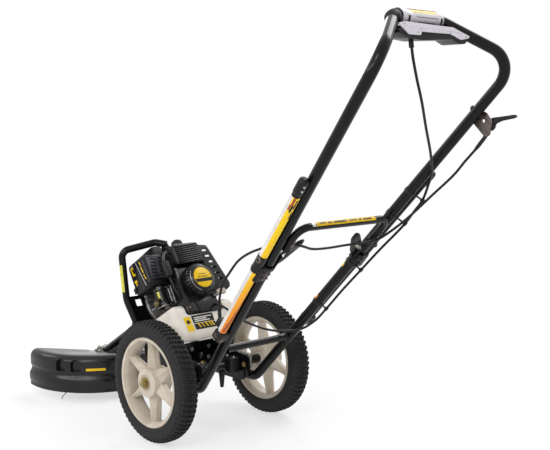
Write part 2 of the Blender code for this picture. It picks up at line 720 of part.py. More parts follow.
def build_engine(engine):
    """Two-stroke engine: covers, crankcase and cylinder, and what turns inside."""
    r = STARTER_RADIUS
    front = SHROUD[0][1] - GAP
    profile = [(0, -0.004), (0.030, -0.004), (0.034, 0.0), (r - 0.003, 0.006), (r, 0.016), (r, front),
               (r - 0.003, front), (r - 0.005, 0.012), (0.030, 0.003), (0, 0.002)]
    place("starter_cover", turned_mesh(profile, "Y"), black_plastic(), parent=engine)

    shroud = place("fan_shroud", box_mesh(*SHROUD, 0.006), black_plastic(), parent=engine)
    recess = place("fan_recess", rod_mesh((0, SHROUD[0][1] + 0.010, 0), (0, 0.08, 0),
                                          FLYWHEEL_RADIUS + 0.003, 24), steel(), parent=engine)
    hole = place("starter_hole", rod_mesh((0, 0, 0), (0, 0.06, 0), 0.012), steel(), parent=engine)
    combine(shroud, [recess, hole], "DIFFERENCE")

    hollow_cover("cylinder_cover", COVER, (0, 0, -1), engine)
    build_muffler(engine)

    place("crankcase", crankcase_mesh(), aluminium(), parent=engine)
    place("cylinder", cylinder_mesh(), aluminium(), parent=engine)
    boot = turned_mesh([(0, 0), (0.016, 0), (0.016, 0.012), (0.011, 0.017), (0, 0.017)], "Z",
                       (-0.004, 0.050, COVER[1][2] + GAP), 16)
    place("spark_plug_boot", boot, rubber(), parent=engine)

    hollow_cover("air_filter_cover", FILTER, (1, 0, 0), engine)
    low, high = CARB
    mid_y = (low[1] + high[1]) / 2
    r = PRIMER_RADIUS
    bulb = Vector((low[0] - GAP, mid_y, low[2] + 0.014))
    profile = [(0, -r), (0.55 * r, -0.9 * r), (r, 0), (0, 0)]
    place("primer_bulb", turned_mesh(profile, "X", bulb, 14), strut_paint(), bulb, engine)
    carb = place("carburettor", box_mesh(low, high, 0.005), aluminium(), parent=engine)
    depth = Vector((PRIMER_TRAVEL + 2 * GAP, 0, 0))
    recess = place("primer_recess", rod_mesh(bulb - depth, bulb + depth, r + RUNNING, 24), steel(),
                   parent=engine)
    combine(carb, [recess], "DIFFERENCE")
    pivot = Vector((low[0] + 0.012, low[1] - GAP, 0.004))
    bm = plate_mesh([(pivot.x - 0.005, pivot.z + 0.005), (pivot.x + 0.005, pivot.z + 0.005),
                     (pivot.x + 0.003, pivot.z - 0.026), (pivot.x - 0.003, pivot.z - 0.026)],
                    pivot.y - 0.003, pivot.y, "Y")
    place("choke_lever", bm, black_plastic(), pivot, engine)
    pivot = Vector((low[0] + 0.030, mid_y, low[2] - GAP))
    bm = turned_mesh([(0, -0.004), (0.010, -0.004), (0.010, 0), (0, 0)], "Z", pivot, 14)
    place("throttle_cam", bm, steel(), pivot, engine)

    x, y, z = STARTER_HANDLE
    place("starter_handle", box_mesh((x, y - 0.010, z - 0.008), (x + 0.028, y + 0.009, z + 0.008), 0.005),
          wheel_plastic(), parent=engine)
    place("starter_rope", rod_mesh((0.0265, y, z), (x - GAP, y, z), 0.002, 8), rubber(), parent=engine)
    build_tank(engine)
    build_crank(engine)


def build_muffler(engine):
    """The muffler box, and the slotted guard over it, which is open towards the cylinder."""
    low, high = GUARD_Y
    guard = place("muffler_guard", plate_mesh(GUARD_OUTLINE, low, high, "Y"), black_plastic(), parent=engine)
    middle = Vector((0.070, 0.036))
    inner = []
    for point in GUARD_OUTLINE:
        way = middle - Vector(point)
        inner.append(Vector(point) + way.normalized() * COVER_WALL * 1.3)
    for i in (0, -1):
        inner[i].x -= 0.03
    inside = place("muffler_guard_inside", plate_mesh(inner, low + COVER_WALL, high - COVER_WALL, "Y"),
                   steel(), parent=engine)
    combine(guard, [inside], "DIFFERENCE")

    low, high = MUFFLER
    muffler = place("muffler", box_mesh(low, high, 0.006), steel(), parent=engine)
    wall = COVER_WALL / 2
    inside = place("muffler_inside", box_mesh([v + wall for v in low], [v - wall for v in high], 0.005),
                   steel(), parent=engine)
    front = Vector((sum((low[0], high[0])) / 2, high[1], 0.0))
    outlet = place("muffler_outlet", rod_mesh(front - Vector((0, 0.02, 0)), front + Vector((0, 0.01, 0)), 0.006),
                   steel(), parent=engine)
    combine(muffler, [inside, outlet], "DIFFERENCE")


def hollow_cover(name, extent, mouth, engine):
    """A thin cover with rounded edges, open on the side that the mouth vector points to."""
    cover = place(name, box_mesh(*extent, COVER_ROUND, 3, mouth), black_plastic(), parent=engine)
    wall = COVER_WALL
    low = [a + wall - (0.05 if m < 0 else 0) for a, m in zip(extent[0], mouth)]
    high = [b - wall + (0.05 if m > 0 else 0) for b, m in zip(extent[1], mouth)]
    inside = place(name + "_inside", box_mesh(low, high, COVER_ROUND - wall, 3), steel(), parent=engine)
    return combine(cover, [inside], "DIFFERENCE")


def crankcase_mesh():
    """Crankcase halves as one turned shell, open at both ends for the crankshaft."""
    back, front = CRANKCASE_Y
    r = CRANKCASE_RADIUS
    hole = CRANK_RADIUS + RUNNING
    wall = 0.008
    return turned_mesh([(hole, back), (r - 0.010, back), (r, back + 0.010), (r, front), (hole, front),
                        (hole, front - wall), (r - wall, front - wall), (r - wall, back + wall),
                        (hole, back + wall)], "Y", steps=20)


def cylinder_mesh():
    """A finned barrel that stands on the crankcase, under its cover."""
    base = CRANKCASE_RADIUS + GAP
    top = COVER[1][2] - COVER_WALL - 0.008
    fins = 5
    pitch = (top - base) / (2 * fins)
    profile = [(0, base)]
    for i in range(2 * fins):
        radius = 0.030 if i % 2 else 0.022
        profile += [(radius, base + i * pitch), (radius, base + (i + 1) * pitch)]
    profile.append((0, top))
    middle = sum(CRANKCASE_Y) / 2
    return turned_mesh(profile, "Z", (0, middle, 0), 12)


def build_tank(engine):
    """Translucent tank slung under the engine, with a channel that the crankcase lies in."""
    half, floor = TANK_CHANNEL
    low, high = TANK
    tank = place("fuel_tank", box_mesh(low, high, 0.016, 3), tank_plastic(), parent=engine)
    channel = place("tank_channel", box_mesh((-half, low[1] - 0.01, floor), (half, high[1] + 0.01, 0)),
                    steel(), parent=engine)
    wall = TANK_WALL
    inside = place("tank_inside", box_mesh([v + wall for v in low], (high[0] - wall, high[1] - wall,
                                                                     floor - wall), 0.013, 2),
                   steel(), parent=engine)
    shoulders = []
    for side, label in ((-1, "left"), (1, "right")):
        ends = sorted((side * (half + wall), side * (high[0] - wall)))
        inset = 1.2 * wall
        tool = box_mesh((ends[0], low[1] + inset, floor - 3 * wall),
                        (ends[1] - side * GAP, high[1] - inset, high[2] - wall), 0.012, 2)
        shoulders.append(place("tank_shoulder_" + label, tool, steel(), parent=engine))
    neck = Vector((0.084, 0.160, high[2]))
    bore = place("tank_neck", rod_mesh(neck + Vector((0, 0, -0.02)), neck + Vector((0, 0, 0.01)), 0.011),
                 steel(), parent=engine)
    combine(tank, [channel, inside, *shoulders, bore], "DIFFERENCE")
    bm = turned_mesh([(0, 0), (0.016, 0), (0.016, 0.011), (0.013, 0.013), (0, 0.013)], "Z",
                     neck + Vector((0, 0, GAP)), 18)
    place("fuel_cap", bm, black_plastic(), neck, engine)


def build_crank(engine):
    """Crankshaft with its web and clutch shoes, flywheel, drum, drive shaft and their housings."""
    hole = CRANK_RADIUS
    shoe_radius = DRUM_RADIUS - 0.0035
    back, front = CRANKCASE_Y
    start = FLYWHEEL_Y[0] - 0.004
    web = [(0, start), (hole, start), (hole, back + 0.014), (0.030, back + 0.014), (0.030, front - 0.014),
           (hole, front - 0.014), (hole, DRUM_Y[0] + 0.002), (shoe_radius, DRUM_Y[0] + 0.002),
           (shoe_radius, DRUM_Y[1] - 0.006), (0, DRUM_Y[1] - 0.006)]
    place("crankshaft", turned_mesh(web, "Y", steps=20), steel(), parent=engine)
    place("flywheel", flywheel_mesh(), aluminium(), parent=engine)

    inner = DRUM_RADIUS - 0.002
    drum = [(0, DRUM_Y[1]), (DRUM_RADIUS, DRUM_Y[1]), (DRUM_RADIUS, DRUM_Y[0]), (inner, DRUM_Y[0]),
            (inner, DRUM_Y[1] - 0.003), (0, DRUM_Y[1] - 0.003)]
    place("clutch_drum", turned_mesh(drum, "Y", steps=20), steel(), parent=engine)
    start = DRUM_Y[1] + GAP
    r = DRIVE_SHAFT_RADIUS
    tip = SHAFT_LENGTH - 0.016
    shaft = [(0, start), (r, start), (r, tip - 0.010), (0.007, tip - 0.010), (0.009, tip), (0, tip + 0.001)]
    place("drive_shaft", turned_mesh(shaft, "Y", steps=14), steel(), parent=engine)

    low, high = CLUTCH_Y
    flange = CLUTCH_FLANGE_RADIUS
    bell = [(DRUM_RADIUS + 0.003, low), (0.044, low), (0.044, low + 0.014), (flange, low + 0.022),
            (flange, high - 0.003), (0.020, high - 0.003), (0.020, high - 0.009),
            (flange - 0.004, high - 0.009), (flange - 0.004, low + 0.026), (DRUM_RADIUS + 0.003, low + 0.018)]
    place("clutch_housing", turned_mesh(bell, "Y"), aluminium(), parent=engine)
    socket = SHAFT_LENGTH - 0.034
    start = high - 0.006
    tube = [(DRIVE_TUBE_BORE, high - 0.006), (0.0195, high - 0.006), (0.0195, PLATE_Y[1] + 0.004),
            (DRIVE_TUBE_RADIUS, PLATE_Y[1] + 0.010), (DRIVE_TUBE_RADIUS, socket), (DRIVE_TUBE_BORE, socket)]
    place("drive_tube", turned_mesh(tube, "Y", steps=16), black_paint(), parent=engine)

    path = [Vector(p) for p in ((-0.110, PLATE_Y[0] - 0.0085, -0.060), (-0.124, 0.185, 0.030),
                                (-0.139, 0.114, 0.145), (-0.050, 0.076, 0.145), (-0.034, 0.056, 0.128))]
    path = filleted(path, [0.05, 0.022, 0.016], 5)
    place("engine_guard", swept_mesh(path, 0.008, 10), black_paint(), parent=engine)


def flywheel_mesh():
    """Flywheel with fan blades, as a turned disc whose rim is notched between the blades."""
    bm = bmesh.new()
    blades = 12
    low, high = FLYWHEEL_Y
    hole = CRANK_RADIUS + GAP
    rings = {}
    for name, y in (("low", low), ("high", high)):
        for part in ("hole", "rim"):
            ring = []
            for i in range(2 * blades):
                radius = FLYWHEEL_RADIUS if i % 2 else FLYWHEEL_RADIUS - 0.007
                angle = 2 * math.pi * i / (2 * blades)
                radius = hole if part == "hole" else radius
                ring.append(bm.verts.new((radius * math.cos(angle), y, radius * math.sin(angle))))
            rings[name, part] = ring
    for i in range(2 * blades):
        j = (i + 1) % (2 * blades)
        for a, b in ((("low", "hole"), ("low", "rim")), (("high", "rim"), ("high", "hole")),
                     (("low", "rim"), ("high", "rim")), (("high", "hole"), ("low", "hole"))):
            bm.faces.new((rings[a][i], rings[a][j], rings[b][j], rings[b][i]))
    return bm


def build_gearbox(engine):
    """Angle gearbox at the end of the shaft, over the deck."""
    low, high = GEARBOX_Z
    cavity = BEVEL_RADIUS + 0.003
    wall = 0.005
    body = place("gearbox", turned_mesh([(SPINDLE_RADIUS + RUNNING, low), (GEARBOX_RADIUS, low),
                                         (GEARBOX_RADIUS, high - 0.006), (GEARBOX_RADIUS - 0.006, high),
                                         (0, high), (0, high - wall), (cavity, high - wall),
                                         (cavity, low + wall), (SPINDLE_RADIUS + RUNNING, low + wall)],
                                        "Z", steps=18), aluminium())
    back = SHAFT_LENGTH - 0.052
    socket = place("gear_socket", rod_mesh((0, back, 0), (0, SHAFT_LENGTH - 0.004, 0), GEAR_SOCKET_RADIUS, 16),
                   aluminium(), parent=engine)
    seat = place("gear_seat", rod_mesh((0, back - 0.01, 0), (0, SHAFT_LENGTH - 0.034 + GAP, 0),
                                       DRIVE_TUBE_RADIUS + GAP, 16), steel(), parent=engine)
    bore = place("gear_bore", rod_mesh((0, back, 0), (0, SHAFT_LENGTH - 0.005, 0), 0.0095),
                 steel(), parent=engine)
    hollow = place("gear_hollow", rod_mesh((0, 0, low + wall), (0, 0, high - wall), cavity - GAP, 18), steel())
    combine(body, [socket], "UNION")
    combine(body, [seat, bore, hollow], "DIFFERENCE")


def build_deck():
    """A moulded hood over the rear half of the cutting circle, open to the front and below."""
    r = DECK_RADIUS
    t = DECK_WALL
    outer = [(0.196, DECK_CREST), (0.208, 0.128), (0.2125, 0.116), (0.2125, 0.086), (0.209, 0.078),
             (r, 0.062), (r, 0.040), (r - 0.007, DECK_LIP)]
    profile = [(0, DECK_MIDDLE), (0.036, DECK_MIDDLE)] + outer
    profile += [(a - t, b - t / 2 if i else b) for i, (a, b) in enumerate(reversed(outer[1:]))]
    profile += [(0.195, DECK_CREST - t), (0.036, DECK_MIDDLE - t), (0, DECK_MIDDLE - t)]
    start = math.radians(270) - DECK_SWEEP / 2
    bm = turned_mesh(profile, "Z", steps=DECK_STEPS, start=start, sweep=DECK_SWEEP)
    deck = place("deck", bm, black_plastic())
    gap = GEARBOX_RADIUS + GAP
    hole = place("deck_hole", rod_mesh((0, 0, 0.07), (0, 0, 0.15), gap, 24), steel())
    half = GEAR_SOCKET_RADIUS + GAP
    slot = place("deck_slot", box_mesh((-half, -0.110, 0.07), (half, 0, 0.15)), steel())
    combine(deck, [hole, slot], "DIFFERENCE")


def build_head():
    """Trimmer head with glide cup, spindle and crown gear, and the cutting line through it."""
    low, high = HEAD_Z
    r = HEAD_RADIUS
    crown = GEAR_HEIGHT - 0.001
    under = GEARBOX_Z[0] + 0.011
    profile = [(0, 0), (GLIDE_RADIUS, 0), (GLIDE_RADIUS + 0.004, 0.005), (GLIDE_RADIUS, low), (r - 0.004, low),
               (r, low + 0.006), (r, high - 0.008), (r - 0.010, high), (0.014, high), (0.012, high + 0.005),
               (SPINDLE_RADIUS, high + 0.006), (SPINDLE_RADIUS, under), (0.012, under),
               (BEVEL_RADIUS, crown - 0.003), (BEVEL_RADIUS - 0.001, crown), (0, crown - 0.004)]
    head = place("trimmer_head", turned_mesh(profile, "Z"), black_plastic())
    way = Vector((math.cos(LINE_ANGLE), math.sin(LINE_ANGLE), 0))
    lift = Vector((0, 0, LINE_HEIGHT))
    bore = place("line_bore", rod_mesh(lift - way * 0.08, lift + way * 0.08, LINE_RADIUS + GAP, 8), steel())
    combine(head, [bore], "DIFFERENCE")
    drop = Vector((0, 0, -1))
    half = [way * 0.06 + lift, way * 0.12 + lift + drop * 0.001, way * 0.17 + lift + drop * 0.006,
            way * (LINE_REACH - 0.006) + lift + drop * 0.014, way * LINE_REACH + lift + drop * 0.021]
    other = [Vector((-p.x, -p.y, p.z)) for p in half]
    cable("trimmer_line", other[::-1] + half, LINE_RADIUS, strut_paint(), 1, 0.03)


def from_leg_line(points):
    """Points of a route given as (x, how far in front of the legs' line, height)."""
    return [Vector((x, LEG_FOOT_Y - LEG_LEAN * z + ahead, z)) for x, ahead, z in points]


def build_cables():
    """The two control cables, each point of their routes placed from what carries it there."""
    from_console = [(-0.047, -0.024, -0.0485), (-0.044, -0.026, -0.078), (-0.026, -0.022, -0.120),
                    (0.012, -0.006, -0.169)]
    down_leg = [(0.060, -0.0011, 0.798), (0.118, -0.0208, 0.739), (0.163, -0.0292, 0.694),
                (0.190, -0.0279, 0.659), (0.196, -0.0377, 0.625), (0.194, -0.0394, 0.598),
                (0.190, -0.0425, 0.567), (0.183, -0.0407, 0.536), (0.173, -0.0384, 0.501),
                (0.160, -0.0366, 0.446), (0.149, -0.0335, 0.389), (0.139, -0.0342, 0.338),
                (0.126, -0.0349, 0.303), (0.102, -0.0210, 0.279)]
    to_engine = [(0.070, -0.1031, -0.2032), (0.040, -0.0481, -0.1491), (0.030, -0.0062, -0.0925),
                 (0.030, 0.0268, -0.0697)]
    presence = [Vector(point) + Vector((0, *HANDLE_TOP[1:])) for point in from_console]
    presence += from_leg_line(down_leg)
    presence += [Vector((x, *engine_point(along, above))) for x, along, above in to_engine]
    throttle = [(0.224, -0.0565, 0.7815), (0.2235, -0.0595, 0.769), (0.221, -0.0594, 0.744),
                (0.216, -0.0592, 0.718), (0.211, -0.0602, 0.686), (0.196, -0.0545, 0.640),
                (0.174, -0.0483, 0.581), (0.150, -0.0393, 0.541), (0.128, -0.0368, 0.529),
                (0.104, -0.0251, 0.523), (0.060, -0.0148, 0.521), (0, -0.0126, 0.519),
                (-0.050, -0.0130, 0.522), (-0.088, -0.0113, 0.5325), (-0.112, 0.0012, 0.537),
                (-0.126, 0.0296, 0.534), (-0.129, 0.0605, 0.526), (-0.130, 0.0968, 0.508),
                (-0.125, 0.1227, 0.484), (-0.120, 0.1318, 0.451), (-0.118, 0.1320, 0.417),
                (-0.118, 0.1098, 0.378), (-0.119, 0.0892, 0.355), (-0.120, 0.0676, 0.3348)]
    cable("presence_cable", presence, CABLE_RADIUS, black_plastic())
    cable("throttle_cable", from_leg_line(throttle), CABLE_RADIUS, black_plastic())


def engine_point(along, above):
    """Where a point on the engine's middle plane lies, as (y, z)."""
    along -= SHAFT_LENGTH
    cos, sin = math.cos(SHAFT_TILT), math.sin(SHAFT_TILT)
    return along * cos + above * sin, GEAR_HEIGHT - along * sin + above * cos


def engine_frame():
    """The engine's frame, turned so that +Y runs down the drive shaft to the gearbox."""
    frame = bpy.data.objects.new("engine_frame", None)
    bpy.context.scene.collection.objects.link(frame)
    way = Vector((0, math.cos(SHAFT_TILT), -math.sin(SHAFT_TILT)))
    frame.location = Vector((0, 0, GEAR_HEIGHT)) - way * SHAFT_LENGTH
    frame.rotation_euler = (-SHAFT_TILT, 0, 0)
    return frame


def main():
    for obj in list(bpy.data.objects):
        bpy.data.objects.remove(obj, do_unlink=True)
    engine = engine_frame()
    build_axle()
    build_wheel(-1, "left")
    build_wheel(1, "right")
    build_chassis(engine)
    build_struts()
    build_handle()
    build_engine(engine)
    build_gearbox(engine)
    build_deck()
    build_head()
    build_cables()


main()
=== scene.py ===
"""Two-wheeled petrol string trimmer mower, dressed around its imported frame.

Metres, in the frame's own axes: +Y is forward, +X the operator's right, +Z up. Patterns in the
materials are given in millimetres. Engine pieces are drawn in the engine's own frame, whose +Y runs
down the drive shaft and whose origin lies on the crank axis at the rear of the starter.
"""
import json
import math

import bmesh
import bpy
from mathutils import Matrix, Vector

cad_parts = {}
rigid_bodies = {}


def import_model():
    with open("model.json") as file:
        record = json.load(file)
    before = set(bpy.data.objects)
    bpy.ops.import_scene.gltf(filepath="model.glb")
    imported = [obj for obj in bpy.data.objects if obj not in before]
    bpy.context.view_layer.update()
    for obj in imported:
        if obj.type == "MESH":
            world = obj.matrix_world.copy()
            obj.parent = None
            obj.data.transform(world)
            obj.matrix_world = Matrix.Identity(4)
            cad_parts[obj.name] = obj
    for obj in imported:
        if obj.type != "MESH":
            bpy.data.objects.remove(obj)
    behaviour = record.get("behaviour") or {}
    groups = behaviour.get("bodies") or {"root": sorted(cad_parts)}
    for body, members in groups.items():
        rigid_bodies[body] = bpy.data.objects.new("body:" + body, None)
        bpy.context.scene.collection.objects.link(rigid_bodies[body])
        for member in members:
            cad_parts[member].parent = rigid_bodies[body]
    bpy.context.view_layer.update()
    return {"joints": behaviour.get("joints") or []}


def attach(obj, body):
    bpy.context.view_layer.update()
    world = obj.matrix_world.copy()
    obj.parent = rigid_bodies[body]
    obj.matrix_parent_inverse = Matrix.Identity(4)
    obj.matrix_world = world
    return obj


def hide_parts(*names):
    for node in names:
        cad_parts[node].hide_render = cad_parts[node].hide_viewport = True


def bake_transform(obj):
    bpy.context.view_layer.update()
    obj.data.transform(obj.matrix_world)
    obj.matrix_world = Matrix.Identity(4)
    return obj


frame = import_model()
JOINTS = {joint["name"]: joint for joint in frame["joints"]}
MM = 0.001
GAP = 0.3 * MM

# Camera of the photograph
VIEW_WIDTH = math.radians(31.705)
CAMERA_AT = Vector((-1.574, -2.526, 0.824))
CAMERA_YAW = 0.7417
CAMERA_DOWN = 0.1139

# Wheels
HUB = {side: Vector(JOINTS[f"wheel_{side}_spin"]["pos_m"]) for side in ("left", "right")}
WHEEL_RADIUS = HUB["left"].z
TYRE_WIDTH = 0.055
RIM_RADIUS = 0.1145
RIM_HALF_WIDTH = 0.023
HUB_HALF_LENGTH = 0.029
AXLE_RADIUS = 0.0068
AXLE_PAST_HUB = 0.0127
SPOKES = 6
SPOKE_LEAN = {"left": math.radians(3), "right": math.radians(10.5)}
TREAD_PITCHES = 66
TREAD_DEPTH = 0.0045

# Handle and chassis tubes
FOLD = Vector(JOINTS["handle_fold"]["pos_m"])
TUBE_RADIUS = 0.0125
TUBE_WALL = 0.0012
STRUT_RADIUS = 0.0105
STRUT_BOTTOM = 0.300
STRUT_TOP = 0.680
LEG_HALF_WIDTH = 0.0736
LEG_SPLAY = 0.1555
LEG_FOOT_Y = -0.5165
LEG_LEAN = 0.8765
LOWER_RUN_HEIGHT = 0.129
LOWER_RUN_END = -0.410
UPPER_CROSS_HEIGHT = 0.254
CROSS_TUBE_RADIUS = 0.009
BRACE_FOOT_HEIGHT = 0.536
BRACE_TOP_HEIGHT = 0.590
STRUT_OUT = 0.0265
SHEET = 0.0048
CABLE_RADIUS = 0.003
HANDLE_CORNER_HEIGHT = 0.935
HANDLE_TOP = Vector((0.075, -1.238, 1.018))
LEVER_HEIGHT = 0.810

# Engine frame
CRANK = Vector(JOINTS["crank_spin"]["pos_m"])
SHAFT_WAY = Vector(JOINTS["crank_spin"]["axis"]).normalized()
ENGINE = Matrix.Translation(CRANK) @ Matrix((Vector((1, 0, 0)), SHAFT_WAY,
                                             Vector((1, 0, 0)).cross(SHAFT_WAY))).transposed().to_4x4()

# Hood and cutting line
HOOD_WALL = 0.0035
POCKETS = [math.radians(270 + side * lean) for side in (-1, 1) for lean in (49.75, 62.5)]
POCKET_HALF_WIDTH = math.radians(4.1)
POCKET_TOP = 0.1235
POCKET_ARCH = 0.016
POCKET_DEPTH = 0.0125
LINE_ANGLE = math.radians(26.8)
LINE_HEIGHT = 0.024


def linear(colour):
    """An sRGB hex colour as the linear values that the sockets take."""
    channels = [int(colour[i:i + 2], 16) / 255 for i in (0, 2, 4)]
    return (*[c / 12.92 if c <= 0.04045 else ((c + 0.055) / 1.055) ** 2.4 for c in channels], 1.0)


def node(tree, kind, inputs=None, **settings):
    """Add one node with its settings; each input takes a value or a link from another node's output."""
    made = tree.nodes.new(kind)
    for key, value in settings.items():
        setattr(made, key, value)
    for key, value in (inputs or {}).items():
        if isinstance(value, bpy.types.NodeSocket):
            tree.links.new(value, made.inputs[key])
        else:
            made.inputs[key].default_value = value
    return made


def finish(name, colour, roughness, metallic=0.0, **sockets):
    """A Principled material with plain values on its own sockets."""
    mat = bpy.data.materials.new(name)
    mat.use_nodes = True
    shader = mat.node_tree.nodes["Principled BSDF"]
    shader.inputs["Base Color"].default_value = linear(colour)
    shader.inputs["Roughness"].default_value = roughness
    shader.inputs["Metallic"].default_value = metallic
    for key, value in sockets.items():
        shader.inputs[key.replace("_", " ").title().replace("Ior", "IOR")].default_value = value
    return mat


def mottle(mat, colours, patch_mm, roughness=None, detail=4.0):
    """Drift the colour, and the roughness if given as (low, high), over patches of the given size."""
    tree = mat.node_tree
    shader = tree.nodes["Principled BSDF"]
    place = node(tree, "ShaderNodeTexCoord")
    noise = node(tree, "ShaderNodeTexNoise",
                 {"Vector": place.outputs["Object"], "Scale": 1000 / patch_mm, "Detail": detail})
    ramp = node(tree, "ShaderNodeValToRGB", {"Fac": noise.outputs["Fac"]})
    ramp.color_ramp.elements[0].position = 0.35
    ramp.color_ramp.elements[1].position = 0.65
    for element, colour in zip(ramp.color_ramp.elements, colours):
        element.color = linear(colour)
    tree.links.new(ramp.outputs["Color"], shader.inputs["Base Color"])
    if roughness:
        spread = node(tree, "ShaderNodeMapRange",
                      {"Value": noise.outputs["Fac"], "From Min": 0.3, "From Max": 0.7,
                       "To Min": roughness[0], "To Max": roughness[1]})
        tree.links.new(spread.outputs["Result"], shader.inputs["Roughness"])
    return mat


def graded(mat, stops, low, high):
    """Run the colour through the stops from one height to another, in metres."""
    tree = mat.node_tree
    place = node(tree, "ShaderNodeTexCoord")
    parts = node(tree, "ShaderNodeSeparateXYZ", {"Vector": place.outputs["Object"]})
    rise = node(tree, "ShaderNodeMapRange",
                {"Value": parts.outputs["Z"], "From Min": low, "From Max": high})
    ramp = node(tree, "ShaderNodeValToRGB", {"Fac": rise.outputs["Result"]})
    for spot, _ in stops[2:]:
        ramp.color_ramp.elements.new(spot)
    for element, (spot, colour) in zip(ramp.color_ramp.elements, stops[:1] + stops[2:] + stops[1:2]):
        element.position = spot
        element.color = linear(colour)
    tree.links.new(ramp.outputs["Color"], tree.nodes["Principled BSDF"].inputs["Base Color"])
    return mat


def grain(mat, size_mm, height_mm, strength=0.5):
    """Raise a fine grain of the given size over the whole surface."""
    tree = mat.node_tree
    place = node(tree, "ShaderNodeTexCoord")
    noise = node(tree, "ShaderNodeTexNoise",
                 {"Vector": place.outputs["Object"], "Scale": 1000 / size_mm, "Detail": 2.0})
    bump = node(tree, "ShaderNodeBump",
                {"Height": noise.outputs["Fac"], "Strength": strength, "Distance": height_mm * MM})
    tree.links.new(bump.outputs["Normal"], tree.nodes["Principled BSDF"].inputs["Normal"])
    return mat


def make_mouldings():
    """Finishes of plastic and rubber parts, by their short names."""
    made = {}

    # Moulded ABS: satin black with a fine spark-eroded grain, drawn a little coarse
    abs_black = finish("moulded_abs", "141314", 0.36, specular_ior_level=0.25)
    made["abs"] = grain(mottle(abs_black, ("100f10", "1a191a"), 35, (0.3, 0.44)), 1.2, 0.08)

    # Polished polypropylene of the hood: black, glossy, slightly waxy
    gloss = finish("gloss_polypropylene", "131112", 0.22, specular_ior_level=0.33)
    made["gloss"] = grain(mottle(gloss, ("100e0f", "1b1819"), 90, (0.17, 0.3)), 6.0, 0.06, 0.3)

    # Painted ABS of the console: silver grey with a faint metallic flake
    silver = finish("silver_paint", "e2dde5", 0.34, 0.1)
    made["silver"] = grain(mottle(silver, ("dad5de", "e8e3eb"), 4), 0.8, 0.02, 0.3)

    # Glass-filled polyamide of the wheels: warm grey beige with slow flow clouds
    wheel = finish("beige_polyamide", "c2b6a6", 0.45)
    made["wheel"] = grain(mottle(wheel, ("b8ac9b", "cbc0b1"), 45, (0.38, 0.52)), 1.5, 0.05)

    # Tyre rubber: grey black and dull, dustier on the grain
    tyre = finish("tyre_rubber", "1f1e20", 0.7, specular_ior_level=0.3)
    made["tyre"] = grain(mottle(tyre, ("1a191b", "262527"), 18, (0.58, 0.8)), 1.4, 0.15)

    # Nitrile rubber of boots and pegs
    rubber = finish("nitrile_rubber", "151416", 0.6, specular_ior_level=0.3)
    made["rubber"] = grain(mottle(rubber, ("131315", "1e1e20"), 12), 1.0, 0.08)

    # Natural blow-moulded polyethylene of the tank: milky, light sinks into it
    milky = finish("natural_polyethylene", "e2dad0", 0.34, subsurface_weight=0.35, subsurface_scale=0.02)
    milky.node_tree.nodes["Principled BSDF"].inputs["Subsurface Radius"].default_value = (1.0, 0.8, 0.6)
    made["milky"] = grain(mottle(milky, ("d9d0c4", "e9e3da"), 50), 5.0, 0.12, 0.4)

    # Sleeved control cables
    cable = finish("pvc_sleeve", "111012", 0.35, specular_ior_level=0.25)
    made["cable"] = grain(mottle(cable, ("0e0d0f", "171618"), 10), 1.0, 0.04)

    # Cutting line: dark brown polyamide, worn paler in places
    made["line"] = mottle(finish("cutting_line", "4a3f34", 0.45), ("3a312a", "65584a"), 14)

    # Primer dome: smoky yellow polymer
    made["amber"] = mottle(finish("yellow_polymer", "5a4c24", 0.3), ("4a3e1e", "6d5c2e"), 12)

    # Slate ABS: dark blue grey, a little lighter than the black mouldings
    slate = finish("slate_abs", "3c3c42", 0.36, specular_ior_level=0.4)
    made["slate"] = grain(mottle(slate, ("323238", "46464d"), 25), 1.2, 0.06)
    return made


def make_metals():
    """Finishes of metal parts, bare and coated, by their short names."""
    made = {}

    # Gloss powder coat over steel: deep black, soft orange peel that only shows in the highlights
    coat = finish("black_powder_coat", "0d0d0e", 0.15, specular_ior_level=0.2)
    made["coat"] = grain(mottle(coat, ("0b0b0c", "121112"), 60, (0.11, 0.19)), 2.5, 0.05, 0.3)

    # Zinc plate: bright steel with faint straw and blue clouds
    zinc = finish("zinc_plate", "b3afa2", 0.32, 1.0)
    made["zinc"] = grain(mottle(zinc, ("a7a08c", "bfc0c2"), 14, (0.25, 0.42)), 1.2, 0.03)

    # Yellow chromate on the small bolts
    gold = finish("yellow_chromate", "9d8b5e", 0.32, 1.0)
    made["gold"] = mottle(gold, ("7f7550", "b3a06a"), 4, (0.26, 0.42))

    # Black-brown phosphated sheet of the lever bracket
    steel = finish("phosphated_steel", "6a605c", 0.5, 0.8)
    made["steel"] = grain(mottle(steel, ("5c5350", "766b66"), 9, (0.42, 0.6)), 1.2, 0.05)

    # Sand-cast and blasted aluminium: dull grey, pebbled
    cast = finish("cast_aluminium", "8f8f8d", 0.5, 1.0)
    made["cast"] = grain(mottle(cast, ("7c7c7b", "9b9b99"), 8, (0.42, 0.6)), 1.3, 0.12)

    # Blued heat-stained steel of the muffler
    heat = finish("heat_stained_steel", "6d655c", 0.45, 1.0)
    made["heat"] = grain(mottle(heat, ("4d4540", "8a8073"), 20, (0.35, 0.6)), 1.2, 0.06)
    return made


